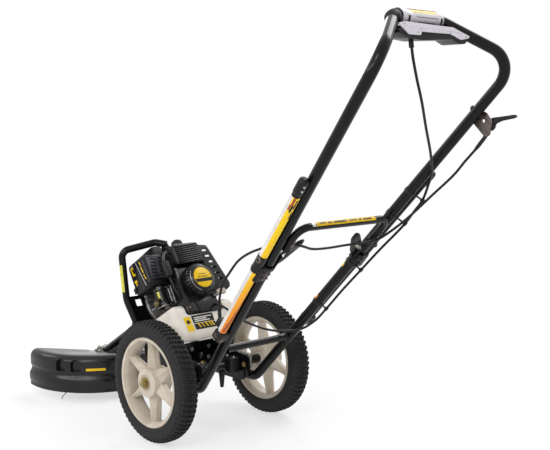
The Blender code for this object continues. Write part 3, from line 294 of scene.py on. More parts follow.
def make_films():
    """Finishes of labels and print, by their short names; the pale silver film also serves as a painted
    highlight.
    """
    made = {}

    # Vinyl labels: flat printed film
    yellow = finish("yellow_vinyl", "e6bc00", 0.35, specular_ior_level=0.3)
    made["yellow"] = mottle(yellow, ("e0b400", "ecc60c"), 30)
    made["white"] = mottle(finish("white_vinyl", "e9e8e4", 0.35), ("e2e1dc", "efeeeb"), 30)
    ink = finish("black_vinyl", "121110", 0.35, specular_ior_level=0.25)
    made["ink"] = mottle(ink, ("0f0e0d", "181614"), 30)

    # Rust-coloured print on the struts
    made["rust"] = mottle(finish("rust_vinyl", "9c3a0c", 0.35), ("862e08", "b24a12"), 20)

    # Print on the struts: orange at the foot, running into yellow further up
    made["print"] = graded(finish("printed_vinyl", "efc600", 0.3, specular_ior_level=0.3),
                           ((0.0, "e07418"), (1.0, "f0c800"), (0.35, "eea01c"), (0.6, "f0bc08")), 0.30,
                           0.58)

    # Pale silver film: along the outer edge of the struts it is partly print and partly a painted highlight
    made["pale"] = mottle(finish("silver_vinyl_and_painted_highlight", "d6d2cf", 0.3, 0.2), ("cbc7c5", "e2dfdc"), 40)

    # Yellow-green vinyl on the guard bar
    made["lime"] = mottle(finish("lime_vinyl", "c9c43a", 0.35), ("bdb82c", "d6d14a"), 20)
    return made


FINISH = {**make_metals(), **make_mouldings(), **make_films()}


def as_object(name, source):
    """Link a bmesh as a new object at the origin, with doubles merged and faces turned outward."""
    bmesh.ops.remove_doubles(source, verts=source.verts, dist=1e-6)
    bmesh.ops.recalc_face_normals(source, faces=source.faces)
    mesh = bpy.data.meshes.new(name)
    source.to_mesh(mesh)
    source.free()
    obj = bpy.data.objects.new(name, mesh)
    bpy.context.scene.collection.objects.link(obj)
    return obj


def settle(obj):
    """Turn the object's modifiers into plain mesh."""
    bpy.context.view_layer.update()
    graph = bpy.context.evaluated_depsgraph_get()
    mesh = bpy.data.meshes.new_from_object(obj.evaluated_get(graph))
    obj.modifiers.clear()
    obj.data = mesh
    return obj


def carve(obj, *cutters, operation="DIFFERENCE"):
    """Cut the object by bmeshes or other objects, which are used up."""
    tools = [as_object("cutter", cutter) if isinstance(cutter, bmesh.types.BMesh) else cutter
             for cutter in cutters]
    for tool in tools:
        modifier = obj.modifiers.new("carve", "BOOLEAN")
        modifier.operation = operation
        modifier.solver = "EXACT"
        modifier.object = tool
    settle(obj)
    for tool in tools:
        bpy.data.objects.remove(tool, do_unlink=True)
    return obj


def fuse(obj, *others):
    """Join bmeshes or other objects into the object."""
    return carve(obj, *others, operation="UNION")


def soften(obj, width, segments=2, angle=35):
    """Round the sharp edges."""
    modifier = obj.modifiers.new("soften", "BEVEL")
    modifier.width = width
    modifier.segments = segments
    modifier.limit_method = "ANGLE"
    modifier.angle_limit = math.radians(angle)
    return settle(obj)


def dress(obj, coat, replaces=(), body="chassis", smooth=38):
    """Give a finished object its finish, smoothing and body, and hide the nodes it stands for."""
    obj.data.materials.clear()
    obj.data.materials.append(FINISH[coat])
    obj.data.shade_smooth()
    obj.data.set_sharp_from_angle(angle=math.radians(smooth))
    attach(obj, body)
    if replaces:
        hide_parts(*replaces)
    return obj


def piece(name, source, coat, replaces=(), body="chassis", smooth=38):
    """Turn a bmesh into a dressed piece."""
    return dress(as_object(name, source), coat, replaces, body, smooth)


def engine_dress(obj, coat, replaces=(), body="chassis", smooth=38):
    """Dress an object that is drawn in the engine's frame."""
    obj.data.transform(ENGINE)
    return dress(obj, coat, replaces, body, smooth)


def engine_piece(name, source, coat, replaces=(), body="chassis", smooth=38):
    """Turn a bmesh drawn in the engine's frame into a dressed piece."""
    return engine_dress(as_object(name, source), coat, replaces, body, smooth)


def skin(bm, rings):
    """Faces between each closed ring of vertices and the next."""
    for first, second in zip(rings, rings[1:]):
        for k in range(len(first)):
            n = (k + 1) % len(first)
            bm.faces.new((first[k], first[n], second[n], second[k]))


def turned(profile, axis="Z", centre=(0, 0, 0), steps=64):
    """Turn a closed outline of (radius, along) points once round an axis."""
    bm = bmesh.new()
    rings = []
    for i in range(steps):
        angle = 2 * math.pi * i / steps
        ring = []
        for radius, along in profile:
            a, b = radius * math.cos(angle), radius * math.sin(angle)
            point = {"Z": (a, b, along), "Y": (a, along, b), "X": (along, a, b)}[axis]
            ring.append(bm.verts.new(Vector(point) + Vector(centre)))
        rings.append(ring)
    count = len(profile)
    for i in range(steps):
        first, second = rings[i], rings[(i + 1) % steps]
        for j in range(count):
            k = (j + 1) % count
            ends = (profile[j][0] == 0, profile[k][0] == 0)
            corners = {(False, False): (first[j], second[j], second[k], first[k]),
                       (True, False): (first[j], second[k], first[k]),
                       (False, True): (first[j], second[j], first[k])}.get(ends)
            if corners:
                bm.faces.new(corners)
    return bm


def rod(radius, start, end, axis="Y", centre=(0, 0, 0), steps=48):
    """A plain round bar, mostly to cut a hole with."""
    return turned([(0, start), (radius, start), (radius, end), (0, end)], axis, centre, steps)


def rounded(points, radius, steps=4):
    """The closed outline with each corner rounded, as far as its sides allow."""
    result = []
    count = len(points)
    for i, corner in enumerate(points):
        corner = Vector(corner)
        back = Vector(points[i - 1]) - corner
        ahead = Vector(points[(i + 1) % count]) - corner
        reach = min(radius, 0.45 * back.length, 0.45 * ahead.length)
        first, last = corner + back.normalized() * reach, corner + ahead.normalized() * reach
        for k in range(steps + 1):
            t = k / steps
            result.append(first * (1 - t) ** 2 + corner * 2 * t * (1 - t) + last * t ** 2)
    return result


def plate(outline, low, high, axis="X"):
    """A flat plate between two levels of one axis, its outline given in the other two."""
    bm = bmesh.new()
    sides = []
    for level in (low, high):
        sides.append([bm.verts.new({"X": (level, a, b), "Y": (a, level, b), "Z": (a, b, level)}[axis])
                      for a, b in outline])
    bm.faces.new(sides[0])
    bm.faces.new(sides[1][::-1])
    for i in range(len(outline)):
        j = (i + 1) % len(outline)
        bm.faces.new((sides[0][i], sides[1][i], sides[1][j], sides[0][j]))
    return bm


def sheet(points, bend, low, high, axis="X", steps=4):
    """A flat plate with rounded corners."""
    return plate(rounded(points, bend, steps), low, high, axis)


def block(low, high, bevel=0.0, segments=3):
    """A box with rounded edges."""
    bm = bmesh.new()
    size = Vector(high) - Vector(low)
    middle = (Vector(high) + Vector(low)) / 2
    bmesh.ops.create_cube(bm, size=1, matrix=Matrix.Translation(middle) @ Matrix.Diagonal((*size, 1)))
    if bevel:
        bmesh.ops.bevel(bm, geom=bm.edges[:], offset=bevel, segments=segments, profile=0.5,
                        affect="EDGES", clamp_overlap=True)
    return bm


def fillet(points, bends, steps=14):
    """A path through the corner points, each corner rounded to its own bend radius."""
    points = [Vector(p) for p in points]
    path = [points[0]]
    for i, bend in enumerate(bends, start=1):
        corner = points[i]
        back = (points[i - 1] - corner).normalized()
        ahead = (points[i + 1] - corner).normalized()
        half = back.angle(ahead) / 2
        reach = bend / math.tan(half)
        centre = corner + (back + ahead).normalized() * bend / math.sin(half)
        first = corner + back * reach - centre
        turn = first.rotation_difference(corner + ahead * reach - centre)
        for k in range(steps + 1):
            step = turn.copy()
            step.angle = turn.angle * k / steps
            path.append(centre + step @ first)
    path.append(points[-1])
    return path


def smooth_path(route, spacing=0.008):
    """One smooth curve through the points of a route."""
    points = [Vector(p) for p in route]
    ends = [2 * points[0] - points[1]] + points + [2 * points[-1] - points[-2]]
    path = [points[0]]
    for a, b, c, d in zip(ends, ends[1:], ends[2:], ends[3:]):
        count = max(1, round((c - b).length / spacing))
        for k in range(1, count + 1):
            t = k / count
            bend, twist = 2 * a - 5 * b + 4 * c - d, 3 * b - a - 3 * c + d
            path.append(0.5 * (2 * b + (c - a) * t + bend * t ** 2 + twist * t ** 3))
    return path


def frames(path, up):
    """For each point of a path: the point, and two directions square to the way, the first near up."""
    up = Vector(up)
    path = [Vector(point) for point in path]
    result = []
    for i, point in enumerate(path):
        before = (point - path[i - 1]).normalized() if i else Vector()
        after = (path[i + 1] - point).normalized() if i + 1 < len(path) else Vector()
        way = (before + after).normalized()
        normal = (up - way * up.dot(way)).normalized()
        result.append((point, normal, way.cross(normal)))
        up = normal
    return result


def tube(path, radius, sides=28, up=(0, 0, 1), bore=0.0):
    """A round bar along the path, or a tube with a bore; a list of radii lets it swell."""
    radii = radius if isinstance(radius, (list, tuple)) else [radius] * len(path)
    bm = bmesh.new()
    rings = []
    for (point, normal, across), size in zip(frames(path, up), radii):
        ring = []
        for r in (size, bore) if bore else (size,):
            for k in range(sides):
                angle = 2 * math.pi * k / sides
                ring.append(bm.verts.new(point + (normal * math.cos(angle) + across * math.sin(angle)) * r))
        rings.append(ring)
    skin(bm, [ring[:sides] for ring in rings])
    if bore:
        skin(bm, [ring[sides:] for ring in rings])
    for ring in (rings[0], rings[-1]):
        if bore:
            skin(bm, [ring[:sides], ring[sides:]])
        else:
            bm.faces.new(ring)
    return bm


def wrap(path, radius, start, stop, up=(0, 0, 1), steps=12, lift=0.25 * MM):
    """A thin film wrapped on part of a tube's round, between two angles from up, in degrees."""
    bm = bmesh.new()
    rings = []
    for point, normal, across in frames(path, up):
        ring = []
        for r, order in ((radius + lift, range(steps + 1)), (radius - 0.1 * MM, range(steps, -1, -1))):
            for k in order:
                angle = math.radians(start + (stop - start) * k / steps)
                ring.append(bm.verts.new(point + (normal * math.cos(angle) + across * math.sin(angle)) * r))
        rings.append(ring)
    skin(bm, rings)
    for ring in (rings[0], rings[-1]):
        close_film(bm, ring)
    return bm


def close_film(bm, ring):
    """Faces across one end of a shell, whose ring runs out along one side and back along the other."""
    for k in range(len(ring) // 2 - 1):
        bm.faces.new((ring[k], ring[k + 1], ring[-2 - k], ring[-1 - k]))


def join(first, *others):
    """Put the other bmeshes into the first."""
    for other in others:
        mesh = bpy.data.meshes.new("part")
        other.to_mesh(mesh)
        other.free()
        first.from_mesh(mesh)
        bpy.data.meshes.remove(mesh)
    return first


def bolt(at, way, radius, height, flats=6, washer=True):
    """A bolt head that stands on a surface, with its washer."""
    at, way = Vector(at), Vector(way).normalized()
    turn = way.to_track_quat("Z", "Y").to_matrix().to_4x4()
    bm = bmesh.new()
    rise = 0.0
    if washer:
        rise = height * 0.25
        bmesh.ops.create_cone(bm, cap_ends=True, segments=24, radius1=radius * 1.5, radius2=radius * 1.45,
                              depth=rise, matrix=Matrix.Translation((0, 0, rise / 2)))
    head = bmesh.new()
    bmesh.ops.create_cone(head, cap_ends=True, segments=flats, radius1=radius, radius2=radius * 0.96,
                          depth=height, matrix=Matrix.Translation((0, 0, rise + height / 2)))
    dimple = [e for e in head.edges if all(v.co.z > rise + height * 0.9 for v in e.verts)]
    bmesh.ops.bevel(head, geom=dimple, offset=height * 0.2, segments=2, profile=0.5, affect="EDGES")
    join(bm, head)
    bm.transform(Matrix.Translation(at) @ turn)
    return bm


def bolt_row(name, spots, way, radius, height, coat, body="chassis", make=piece, **shape):
    """One piece of bolt heads that all face the same way."""
    heads = join(*(bolt(spot, way, radius, height, **shape) for spot in spots))
    return make(name, heads, coat, body=body, smooth=30)


def strokes(bars, low, high, axis="Y"):
    """Slanted bars of print as one mesh, each given by its corner, width, height and lean."""
    return join(*(plate([(a, b), (a + width, b), (a + width + lean, b + height), (a + lean, b + height)],
                        low, high, axis) for a, b, width, height, lean in bars))


def repeated(name, source, count, step, spin_axis=None, at=(0, 0, 0), lean=0):
    """Repeat a mesh in a row by a step, or around an axis, with a node tree; then lean and place it."""
    obj = as_object(name, source)
    tree = bpy.data.node_groups.new("repeat", "GeometryNodeTree")
    tree.interface.new_socket("Geometry", in_out="INPUT", socket_type="NodeSocketGeometry")
    socket = tree.interface.new_socket("Count", in_out="INPUT", socket_type="NodeSocketInt")
    step_socket = tree.interface.new_socket("Step", in_out="INPUT", socket_type="NodeSocketVector")
    tree.interface.new_socket("Geometry", in_out="OUTPUT", socket_type="NodeSocketGeometry")
    given = node(tree, "NodeGroupInput")
    index = node(tree, "GeometryNodeInputIndex")
    shift = node(tree, "ShaderNodeVectorMath", {0: given.outputs["Step"], "Scale": index.outputs[0]},
                 operation="SCALE")
    points = {"Count": given.outputs["Count"]}
    spread = {"Instance": given.outputs["Geometry"]}
    if spin_axis is None:
        points["Position"] = shift.outputs[0]
    else:
        spread["Rotation"] = shift.outputs[0]
    spread["Points"] = node(tree, "GeometryNodePoints", points).outputs[0]
    copies = node(tree, "GeometryNodeInstanceOnPoints", spread)
    real = node(tree, "GeometryNodeRealizeInstances", {"Geometry": copies.outputs[0]})
    coat = node(tree, "GeometryNodeSetMaterial", {"Geometry": real.outputs[0]})
    node(tree, "NodeGroupOutput", {"Geometry": coat.outputs[0]})
    modifier = obj.modifiers.new("repeat", "NODES")
    modifier.node_group = tree
    modifier[socket.identifier] = count
    modifier[step_socket.identifier] = Vector(step) if spin_axis is None else Vector(spin_axis) * step
    settle(obj)
    obj.data.transform(Matrix.Translation(at) @ Matrix.Rotation(math.radians(lean), 4, "Y"))
    return obj


def ring_of(name, source, count, centre=(0, 0, 0), axis=(0, 1, 0)):
    """Copies of a mesh, drawn around the origin, turned about an axis through the centre."""
    return repeated(name, source, count, 2 * math.pi / count, axis, centre)


def leg_point(side, height):
    """A point on the axis of a handle leg; side is -1 for the left and 1 for the right."""
    return Vector((side * (LEG_HALF_WIDTH + LEG_SPLAY * height), LEG_FOOT_Y - LEG_LEAN * height, height))


LEG_UP = Vector((0, -LEG_LEAN, 1)).normalized()
LEG_FRONT = Vector((0, 1, LEG_LEAN)).normalized()
SIDES = ((-1, "left"), (1, "right"))


def leg_along(side):
    """The way up a handle leg."""
    return (leg_point(side, 1) - leg_point(side, 0)).normalized()


# Wheels


def tread_drop(across):
    """How far the tread's outer face lies under the wheel's full radius, at a distance from its middle."""
    share = min(abs(across) / (TYRE_WIDTH / 2), 1.0)
    return 0.0305 * (1 - (1 - share ** 3.4) ** 0.5) ** 1.25


def build_tyre(label):
    """Carcass with bead, ribs and shoulder."""
    hub = HUB[label]
    half = TYRE_WIDTH / 2
    bead = RIM_RADIUS - 0.0062
    section = [(bead, 0.0145), (RIM_RADIUS, 0.0165), (RIM_RADIUS + 0.0008, 0.0245),
               (RIM_RADIUS + 0.003, 0.0258), (RIM_RADIUS + 0.006, 0.0262), (RIM_RADIUS + 0.0068, 0.0270),
               (RIM_RADIUS + 0.0085, 0.0270), (RIM_RADIUS + 0.0092, 0.0264),
               (RIM_RADIUS + 0.014, half - 0.0003), (RIM_RADIUS + 0.020, half - 0.0004),
               (RIM_RADIUS + 0.026, half - 0.0018)]
    steps = 9
    for i in range(steps + 1):
        across = (half - 0.0035) * (1 - i / steps)
        section.append((WHEEL_RADIUS - tread_drop(across) - TREAD_DEPTH, across))
    outline = [(r, hub.x + t) for r, t in section]
    outline += [(r, hub.x - t) for r, t in reversed(section[:-1])]
    carcass = turned(outline, "X", (0, hub.y, hub.z), 128)
    piece("tyre_casing_" + label, carcass, "tyre", ("tyre_" + label,), label + "_wheel")


def build_tread(label):
    """Tread blocks that stand on the casing and follow its round, seven to a pitch."""
    pitch = 2 * math.pi * WHEEL_RADIUS / TREAD_PITCHES
    shapes = [((-0.0030, -0.34), (0.0030, -0.10), (0.0030, 0.34), (-0.0030, 0.10)),
              ((0.0042, -0.16), (0.0098, -0.40), (0.0112, 0.02), (0.0058, 0.30)),
              ((-0.0058, -0.02), (-0.0112, -0.30), (-0.0098, 0.12), (-0.0042, 0.40)),
              ((0.0112, -0.50), (0.0185, -0.36), (0.0185, 0.00), (0.0126, -0.10)),
              ((-0.0126, 0.40), (-0.0185, 0.50), (-0.0185, 0.14), (-0.0112, 0.00)),
              ((0.0198, -0.34), (0.0268, -0.34), (0.0268, 0.22), (0.0198, 0.22)),
              ((-0.0198, -0.02), (-0.0268, -0.02), (-0.0268, 0.54), (-0.0198, 0.54))]
    bm = bmesh.new()
    for shape in shapes:
        middle = sum((Vector(p) for p in shape), Vector((0, 0))) / len(shape)
        rings = []
        for depth, spread in ((TREAD_DEPTH + 0.0008, 1.08), (0.0006, 0.98), (0.0, 0.86)):
            ring = []
            for corner in shape:
                across, along = middle + (Vector(corner) - middle) * spread
                radius = WHEEL_RADIUS - tread_drop(across) - depth
                angle = along * pitch / WHEEL_RADIUS
                ring.append(bm.verts.new((across, radius * math.sin(angle), radius * math.cos(angle))))
            rings.append(ring)
        skin(bm, rings)
        bm.faces.new(rings[-1])
    bmesh.ops.recalc_face_normals(bm, faces=bm.faces)
    tread = ring_of("tyre_tread_" + label, bm, TREAD_PITCHES, HUB[label], (1, 0, 0))
    dress(tread, "tyre", ("tyre_" + label,), label + "_wheel", smooth=25)


def build_rim(label):
    """Deep barrel, stepped hub and tapering ridged spokes of one moulding."""
    hub = HUB[label]
    inner = RIM_RADIUS - 0.0085
    edge = RIM_HALF_WIDTH
    profile = [(inner, -edge), (inner + 0.002, -edge - 0.0008), (RIM_RADIUS - 0.001, -edge - 0.0008),
               (RIM_RADIUS, -edge), (RIM_RADIUS, -edge + 0.006), (RIM_RADIUS - 0.0062, -edge + 0.008),
               (RIM_RADIUS - 0.0062, edge - 0.008), (RIM_RADIUS, edge - 0.006), (RIM_RADIUS, edge),
               (RIM_RADIUS - 0.001, edge + 0.0008), (inner + 0.002, edge + 0.0008), (inner, edge),
               (inner - 0.0042, edge - 0.009), (inner - 0.005, edge - 0.012),
               (inner - 0.005, 0.012 - edge), (inner - 0.0042, 0.009 - edge)]
    bm = turned([(r, hub.x + t) for r, t in profile], "X", (0, hub.y, hub.z), 128)
    half = HUB_HALF_LENGTH
    face = [(0.0075, half), (0.0140, half), (0.0150, half - 0.0006), (0.0156, half - 0.0030),
            (0.0200, half - 0.0030), (0.0208, half - 0.0012), (0.0216, half - 0.0006),
            (0.0345, half - 0.0022), (0.0368, half - 0.0032), (0.0378, half - 0.0060), (0.0375, 0.004)]
    drum = [(r, -t) for r, t in face] + face[::-1]
    join(bm, turned([(r, hub.x + t) for r, t in drum], "X", (0, hub.y, hub.z), 72))
    join(bm, spokes(hub, SPOKE_LEAN[label]))
    piece("wheel_moulding_" + label, bm, "wheel", ("wheel_" + label,), label + "_wheel", smooth=24)


def spokes(hub, lean):
    """Six spokes with a ridge along both faces, swept wide into the hub and narrow at the rim."""
    bm = bmesh.new()
    sections = ((0.033, 0.0195, 0.0195), (0.046, 0.0165, 0.0188), (0.062, 0.0118, 0.0176),
                (0.080, 0.0080, 0.0160), (0.094, 0.0062, 0.0148), (0.1025, 0.0062, 0.0140))
    for i in range(SPOKES):
        angle = math.pi / 2 - lean + 2 * math.pi * i / SPOKES
        way = Vector((0, math.cos(angle), math.sin(angle)))
        across = Vector((0, -math.sin(angle), math.cos(angle)))
        rings = []
        for radius, half, ridge in sections:
            shape = [(-ridge, -0.0012), (-ridge, 0.0012), (-0.35 * ridge, half), (0.35 * ridge, half),
                     (ridge, 0.0012), (ridge, -0.0012), (0.35 * ridge, -half), (-0.35 * ridge, -half)]
            middle = hub + way * radius
            rings.append([bm.verts.new(middle + across * b + Vector((a, 0, 0))) for a, b in shape])
        skin(bm, rings)
        bm.faces.new(rings[0][::-1])
        bm.faces.new(rings[-1])
    return bm


def build_wheels():
    """Both wheels with their tyres and hub nuts."""
    for side, label in SIDES:
        build_tyre(label)
        build_tread(label)
        build_rim(label)
        face = HUB[label] + Vector((side * (HUB_HALF_LENGTH + GAP), 0, 0))
        piece("hub_nut_" + label, hub_nut(face, side), "gold", ("axle_nut_" + label,), smooth=30)


def hub_nut(face, side):
    """Nut on its washer, with the threaded end of the axle standing out of it."""
    bm = bolt(face, (side, 0, 0), 0.0108, 0.0072)
    turns = []
    for i in range(6):
        along = 0.0093 + i * 0.0006
        turns += [(AXLE_RADIUS, side * along), (AXLE_RADIUS - 0.0004, side * (along + 0.0003))]
    outline = [(0, 0), (AXLE_RADIUS, 0), *turns, (0, side * AXLE_PAST_HUB)]
    return join(bm, turned(outline, "X", face, 24))


build_wheels()


# Handle, struts and chassis


def in_leg_frame(bm, side, origin):
    """Turn a mesh drawn as (out, up the leg plane, forward of it) into place at the origin."""
    basis = Matrix((Vector((side, 0, 0)), LEG_UP, LEG_FRONT)).transposed().to_4x4()
    bm.transform(Matrix.Translation(origin) @ basis)
    return bm


def from_leg(side, height, out, up, front):
    """A point by its distances from the leg's axis at a height."""
    return leg_point(side, height) + Vector((side * out, 0, 0)) + LEG_UP * up + LEG_FRONT * front


def strut_point(side, height):
    """A point on the axis of a strut."""
    rise = (height - STRUT_BOTTOM) / (STRUT_TOP - STRUT_BOTTOM)
    return from_leg(side, height, STRUT_OUT - 0.0018 * rise, 0, 0.006 - 0.005 * rise)


def handle_path():
    """The axis of the handle tube, from the left hinge round to the right one."""
    end = 0.013 / (leg_point(1, 1) - leg_point(1, 0)).length
    right = [leg_point(1, FOLD.z - end), leg_point(1, HANDLE_CORNER_HEIGHT), HANDLE_TOP]
    left = [Vector((-p.x, p.y, p.z)) for p in right]
    return fillet(left + right[::-1], [0.060, 0.035, 0.035, 0.060])


def build_tubes():
    """Handle loop, lower legs and the tube between them."""
    bore = TUBE_RADIUS - TUBE_WALL
    loop = tube(handle_path(), TUBE_RADIUS, 40, (1, 0, 0), bore)
    piece("handle_tube", loop, "coat", ("handle_loop",), "handle")
    start = 0.024 / (leg_point(1, 1) - leg_point(1, 0)).length
    for side, label in SIDES:
        corner = leg_point(side, LOWER_RUN_HEIGHT)
        front = Vector((corner.x, LOWER_RUN_END, LOWER_RUN_HEIGHT))
        path = fillet([leg_point(side, FOLD.z - start), corner, front], [0.035])
        leg = tube(path, TUBE_RADIUS, 40, (1, 0, 0), bore)
        piece("lower_leg_" + label, leg, "coat", ("chassis_tube_" + label,))
        plug = tube([front + Vector((0, t, 0)) for t in (-0.010, -0.0011, -0.001, 0.0005, 0.0015)],
                    [bore - 0.0001, bore - 0.0001, TUBE_RADIUS - 0.0004, TUBE_RADIUS - 0.0004,
                     TUBE_RADIUS - 0.0016], 28, (1, 0, 0))
        piece("leg_plug_" + label, plug, "rubber")
    marks = bmesh.new()
    for low, high in ((0.354, 0.369), (0.449, 0.457)):
        row = [leg_point(1, low + (high - low) * k / 4) for k in range(5)]
        join(marks, wrap(row, TUBE_RADIUS, -32, 18, (-0.737, 0.676, 0)))
    piece("leg_marks", marks, "print", smooth=60)
    end = leg_point(1, UPPER_CROSS_HEIGHT)
    lean_in = LEG_SPLAY * LEG_UP.z
    radius = CROSS_TUBE_RADIUS
    reach = end.x - TUBE_RADIUS / math.cos(math.atan(lean_in)) - radius * lean_in - GAP
    bar = tube([(-reach, end.y, end.z), (reach, end.y, end.z)], radius, 32, bore=radius - TUBE_WALL)
    piece("leg_tie_tube", bar, "coat", ("upper_cross_tube",))
    for side, label in SIDES:
        weld = tube([(side * (reach - t), end.y, end.z) for t in (0.0045, 0.0025, 0.0)],
                    [radius + r for r in (0.0001, 0.0012, 0.0034)], 24)
        piece("tie_weld_" + label, weld, "coat")


def build_brace():
    """Cross brace under the hinge height, with bolted ends and a printed strip along its top."""
    radius = CROSS_TUBE_RADIUS
    aside = math.sqrt((TUBE_RADIUS + radius + GAP) ** 2 - TUBE_RADIUS ** 2)
    feet, corners = [[from_leg(side, height, -aside, 0, -TUBE_RADIUS) for side in (-1, 1)]
                     for height in (BRACE_FOOT_HEIGHT, BRACE_TOP_HEIGHT)]
    path = fillet([feet[0], *corners, feet[1]], [0.030, 0.030])
    piece("brace_tube", tube(path, radius, 32, (0, 0, 1), radius - TUBE_WALL), "coat", ("cross_brace",),
          "handle")
    y, z = corners[0].y, corners[0].z
    strip = [(x, y, z) for x in (-0.100, -0.06, -0.02, 0.02, 0.06, 0.092)]
    piece("brace_strip", wrap(strip, radius, -62, 84), "yellow", body="handle", smooth=60)
    slip = [(x, y, z) for x in (-0.1120, -0.1060, -0.1015)]
    piece("brace_strip_end", wrap(slip, radius, -30, 84), "pale", body="handle", smooth=60)
    marks = bmesh.new()
    for i, (start, stop) in enumerate(((-0.088, -0.070), (-0.064, -0.052), (-0.046, -0.006),
                                       (0.004, 0.030), (0.036, 0.044), (0.050, 0.078))):
        row = [(start + (stop - start) * k / 3, y, z) for k in range(4)]
        join(marks, wrap(row, radius, 30 + 5 * (i % 2), 52 + 4 * (i % 3), lift=0.45 * MM))
    piece("brace_strip_marks", marks, "ink", body="handle", smooth=60)
    for (side, label), foot in zip(SIDES, feet):
        spot = from_leg(side, BRACE_FOOT_HEIGHT + 0.020, -aside + 0.001, 0, -TUBE_RADIUS - radius * 0.97)
        bolt_row("brace_bolt_" + label, [spot], -LEG_FRONT, 0.0040, 0.0034, "steel", "handle")
        ends = tube([foot + LEG_UP * t for t in (-0.0012, 0.0, 0.006, 0.0085)],
                    [radius + 0.0004, radius + 0.0012, radius + 0.0012, radius + 0.0002], 28, (1, 0, 0),
                    radius - 0.0003)
        piece("brace_end_" + label, ends, "abs", body="handle")


def build_struts():
    """Printed struts beside the legs, with caps, hinge clamps, feet and cable guides."""
    for side, label in SIDES:
        low, high = strut_point(side, STRUT_BOTTOM), strut_point(side, STRUT_TOP)
        along = (high - low).normalized()
        facing = Vector((0, -1, 0.4)).normalized()
        body = tube([low + (high - low) * k / 24 for k in range(25)], STRUT_RADIUS, 36, facing,
                    STRUT_RADIUS - TUBE_WALL)
        piece("decal_strut_" + label, body, "coat", ("strut_" + label,))
        build_strut_print(side, label, low, high, facing)
        radius = 0.0118
        base = high - along * 0.023
        steps = [(0, 0.93), (0.0012, 1), (0.008, 1), (0.0085, 0.96), (0.0095, 0.96), (0.010, 1),
                 (0.031, 1), (0.0345, 0.975), (0.037, 0.91), (0.039, 0.76), (0.0398, 0.5), (0.040, 0.1)]
        cap = tube([base + along * t for t, _ in steps], [radius * r for _, r in steps], 40, facing)
        piece("strut_end_cap_" + label, cap, "abs", ("strut_cap_" + label,))
        way = (facing - along * facing.dot(along)).normalized()
        way = (way + Vector((side * 0.5, 0, 0))).normalized()
        spots = [base + along * t + way * (radius - 0.0004) for t in (0.014, 0.027)]
        bolt_row("cap_rivets_" + label, spots, way, 0.0026, 0.0014, "zinc", flats=20, washer=False)
        build_clamp(side, label, along)
        build_foot(side, label, along)


def build_strut_print(side, label, low, high, facing):
    """Films round a strut: silver that is part print and part painted highlight, beside orange and yellow,
    with slanted rust and dark slashes on them, and a thin line of painted shade at the outer edge.
    """
    turn = -75 if side > 0 else 0

    def film(name, coat, bands, lift=0.25 * MM):
        """Bands as (start, stop) shares of the strut's length and (first, last) degrees round it."""
        made = bmesh.new()
        for start, stop, first, last in bands:
            count = max(2, round((stop - start) * 40))
            row = [low + (high - low) * (start + (stop - start) * k / count) for k in range(count + 1)]
            ends = sorted((-side * (first + turn), -side * (last + turn)))
            join(made, wrap(row, STRUT_RADIUS, *ends, facing, 16, lift))
        piece(name + label, made, coat, smooth=60)

    # Silver band along the outer edge: partly print, partly a painted highlight
    film("strut_silver_", "pale", ((0.035, 0.94, -165, -84),))
    film("strut_yellow_", "print", ((0.035, 0.94, -83.5, 12),))
    steps = 9
    slant = [(0.045 + 0.03 * k, 0.075 + 0.03 * k, -62 + 8.5 * k, -34 + 6.2 * k) for k in range(steps)]
    film("strut_rust_", "rust", slant, 0.40 * MM)
    slant = [(0.045 + 0.03 * k, 0.075 + 0.03 * k, -28 + 6.2 * k, -22 + 5.2 * k) for k in range(5)]
    film("strut_slash_", "ink",
         slant + [(0.86, 0.90, -55, -30), (0.88, 0.93, -26, -4), (0.82, 0.86, -18, 4)], 0.45 * MM)
    film("strut_flash_", "rust", ((0.90, 0.94, -70, -40), (0.87, 0.90, -80, -58)), 0.35 * MM)
    # Thin dark line at the strut's outer edge: painted shade
    film("strut_line_", "ink", ((0.035, 0.94, -167, -165.4),), 0.3 * MM)


